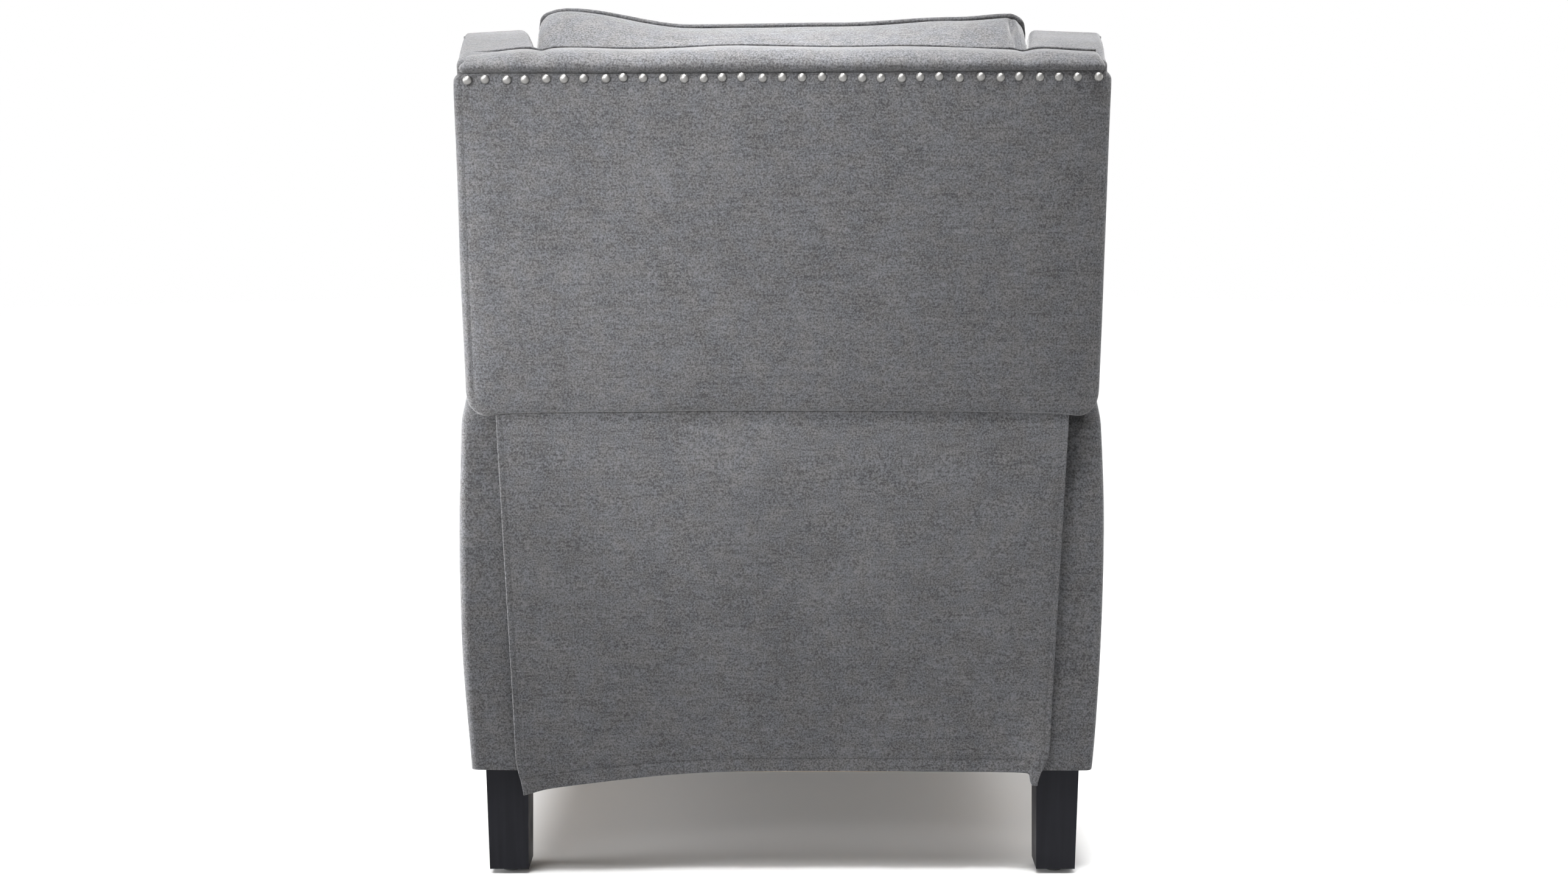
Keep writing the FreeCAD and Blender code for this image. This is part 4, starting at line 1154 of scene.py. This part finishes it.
class RECLINER_OT_frame_finish(bpy.types.Operator):
    """Stain the legs, and finish the timber, steel and plastic that stay as they are"""
    bl_idname = "recliner.frame_finish"
    bl_label = "Wood and metal"

    def execute(self, context):
        slots = {row["node"]: row["material_slot"] for row in frame["record"]["subparts"]}
        for name, node in frame["nodes"].items():
            if node.hide_render:
                continue
            node.data.materials.clear()
            node.data.materials.append(finish_for(slots[name]))
        for name in BEVELLED:
            bevel = frame["nodes"][name].modifiers.new("eased", "BEVEL")
            bevel.width = LEG_BEVEL
            bevel.segments = 3
            bevel.limit_method = "ANGLE"
        return {"FINISHED"}


# Stage

CAMERA_PLACE = (-0.0019, 2.745, 0.872)
CAMERA_DIP = math.radians(8.23)
IMAGE_WIDTH = 2576
FOCAL_PIXELS = 3489
SENSOR = 36.0
FLOOR_HALF = 9.0
FLOOR_FADE = 2.5
SUN_POWER = 4.2
SUN_WIDTH = math.radians(50)
SUN_TURN = (math.radians(-6), math.radians(12), 0.0)


def posed(name, data, place, turn):
    """A light or camera in the scene."""
    item = bpy.data.objects.new(name, data)
    item.location = place
    item.rotation_euler = turn
    bpy.context.scene.collection.objects.link(item)
    return item


def softbox(name, place, target, size, power, spread):
    """A soft light of a size in metres, a power in watts and a beam in degrees, aimed at a target."""
    light = bpy.data.lights.new(name, "AREA")
    light.shape = "RECTANGLE"
    light.size, light.size_y = size
    light.energy = power
    light.spread = math.radians(spread)
    posed(name, light, place, (Vector(target) - Vector(place)).to_track_quat("-Z", "Y").to_euler())


def sky_finish():
    """White up to a little above the horizon, dark grey overhead."""
    finish = Finish("studio_sky", bpy.data.worlds, "Background", strength=1.0)
    way = finish.add("ShaderNodeTexCoord", output="Generated")
    height = finish.add("ShaderNodeSeparateXYZ", {0: way}, "Z")
    share = finish.spread(height, 0.07, 0.22)
    finish.feed(color=finish.blend(share, (1.0, 1.0, 1.0, 1.0), (0.10, 0.10, 0.102, 1.0)))
    return finish.material


def floor_finish():
    """A pale floor that fades out far from the chair."""
    finish = Finish("studio_floor", roughness=0.75, specular_ior_level=0.2)
    cloud = finish.noise(scale=0.8)
    away = finish.add("ShaderNodeVectorMath", {0: finish.place()}, "Value", operation="LENGTH")
    finish.feed(base_color=finish.blend(cloud, (0.84, 0.84, 0.84, 1.0), (0.87, 0.87, 0.87, 1.0)),
                alpha=finish.spread(away, FLOOR_FADE, FLOOR_HALF, 1.0, 0.0))
    return finish.material


class RECLINER_OT_stage(bpy.types.Operator):
    """Set the pale floor, the soft studio light and the camera behind the chair"""
    bl_idname = "recliner.stage"
    bl_label = "Stage"

    def execute(self, context):
        scene = context.scene
        corners = [(x * FLOOR_HALF, y * FLOOR_HALF, 0.0) for x, y in ((-1, -1), (1, -1), (1, 1), (-1, 1))]
        floor = linked("studio_floor", corners, [(0, 1, 2, 3)])
        floor.data.materials.append(floor_finish())
        scene.world = sky_finish()
        softbox("overhead", (0.05, 0.42, 2.2), (0.0, 0.28, 0.9), (0.5, 0.5), 3.4, 34)
        softbox("bar", (-0.11, 0.95, 2.3), (-0.11, 0.42, 0.95), (1.0, 0.2), 1.8, 24)
        softbox("key", (1.0, 2.3, 1.7), (0.05, 0.4, 0.85), (0.8, 0.8), 1.05, 35)
        softbox("high_key", (0.9, 2.2, 2.0), (0.05, 0.42, 0.93), (0.5, 0.5), 1.0, 18)
        softbox("left_key", (1.7, 1.9, 1.5), (0.40, 0.38, 0.74), (0.4, 0.4), 1.1, 15)
        softbox("side", (2.4, 0.42, 0.95), (0.2, 0.25, 0.75), (0.8, 1.0), 6.0, 60)
        softbox("low_side", (2.4, 0.0, 0.4), (0.36, 0.0, 0.4), (1.2, 0.5), 8.0, 20)
        softbox("right_side", (-2.4, 0.3, 1.1), (-0.2, 0.25, 0.75), (0.8, 1.0), 2.0, 60)
        softbox("front", (-1.4, -2.6, 1.8), (0.0, 0.0, 0.6), (1.2, 1.2), 8.0, 60)
        sun = bpy.data.lights.new("daylight", "SUN")
        sun.energy = SUN_POWER
        sun.angle = SUN_WIDTH
        posed("daylight", sun, (0.0, 0.0, 0.0), SUN_TURN)
        lens = bpy.data.cameras.new("camera")
        lens.sensor_width = SENSOR
        lens.sensor_fit = "HORIZONTAL"
        lens.lens = SENSOR * FOCAL_PIXELS / IMAGE_WIDTH
        scene.camera = posed("camera", lens, CAMERA_PLACE, (math.pi / 2 - CAMERA_DIP, 0.0, math.pi))
        scene.view_settings.view_transform = "Standard"
        return {"FINISHED"}


STEPS = (
    RECLINER_OT_arms, RECLINER_OT_outside_back, RECLINER_OT_top_roll, RECLINER_OT_nails, RECLINER_OT_wings,
    RECLINER_OT_back_cushion, RECLINER_OT_seat_cushion, RECLINER_OT_legrest, RECLINER_OT_rear_flap,
    RECLINER_OT_frame_finish, RECLINER_OT_stage,
)


class RECLINER_PT_panel(bpy.types.Panel):
    """The recliner's pieces and looks"""
    bl_idname = "RECLINER_PT_panel"
    bl_label = "Recliner"
    bl_space_type = "VIEW_3D"
    bl_region_type = "UI"
    bl_category = "Recliner"

    def draw(self, context):
        for name in ReclinerLook.__annotations__:
            self.layout.prop(context.scene.recliner, name)
        for step in STEPS:
            self.layout.operator(step.bl_idname)


CLASSES = (ReclinerLook, *STEPS, RECLINER_PT_panel)


def register():
    for one in CLASSES:
        bpy.utils.register_class(one)
    bpy.types.Scene.recliner = bpy.props.PointerProperty(type=ReclinerLook)


def unregister():
    del bpy.types.Scene.recliner
    for one in reversed(CLASSES):
        bpy.utils.unregister_class(one)


def main():
    register()
    for step in STEPS:
        group, name = step.bl_idname.split(".")
        getattr(getattr(bpy.ops, group), name)()


if __name__ == "__main__":
    main()
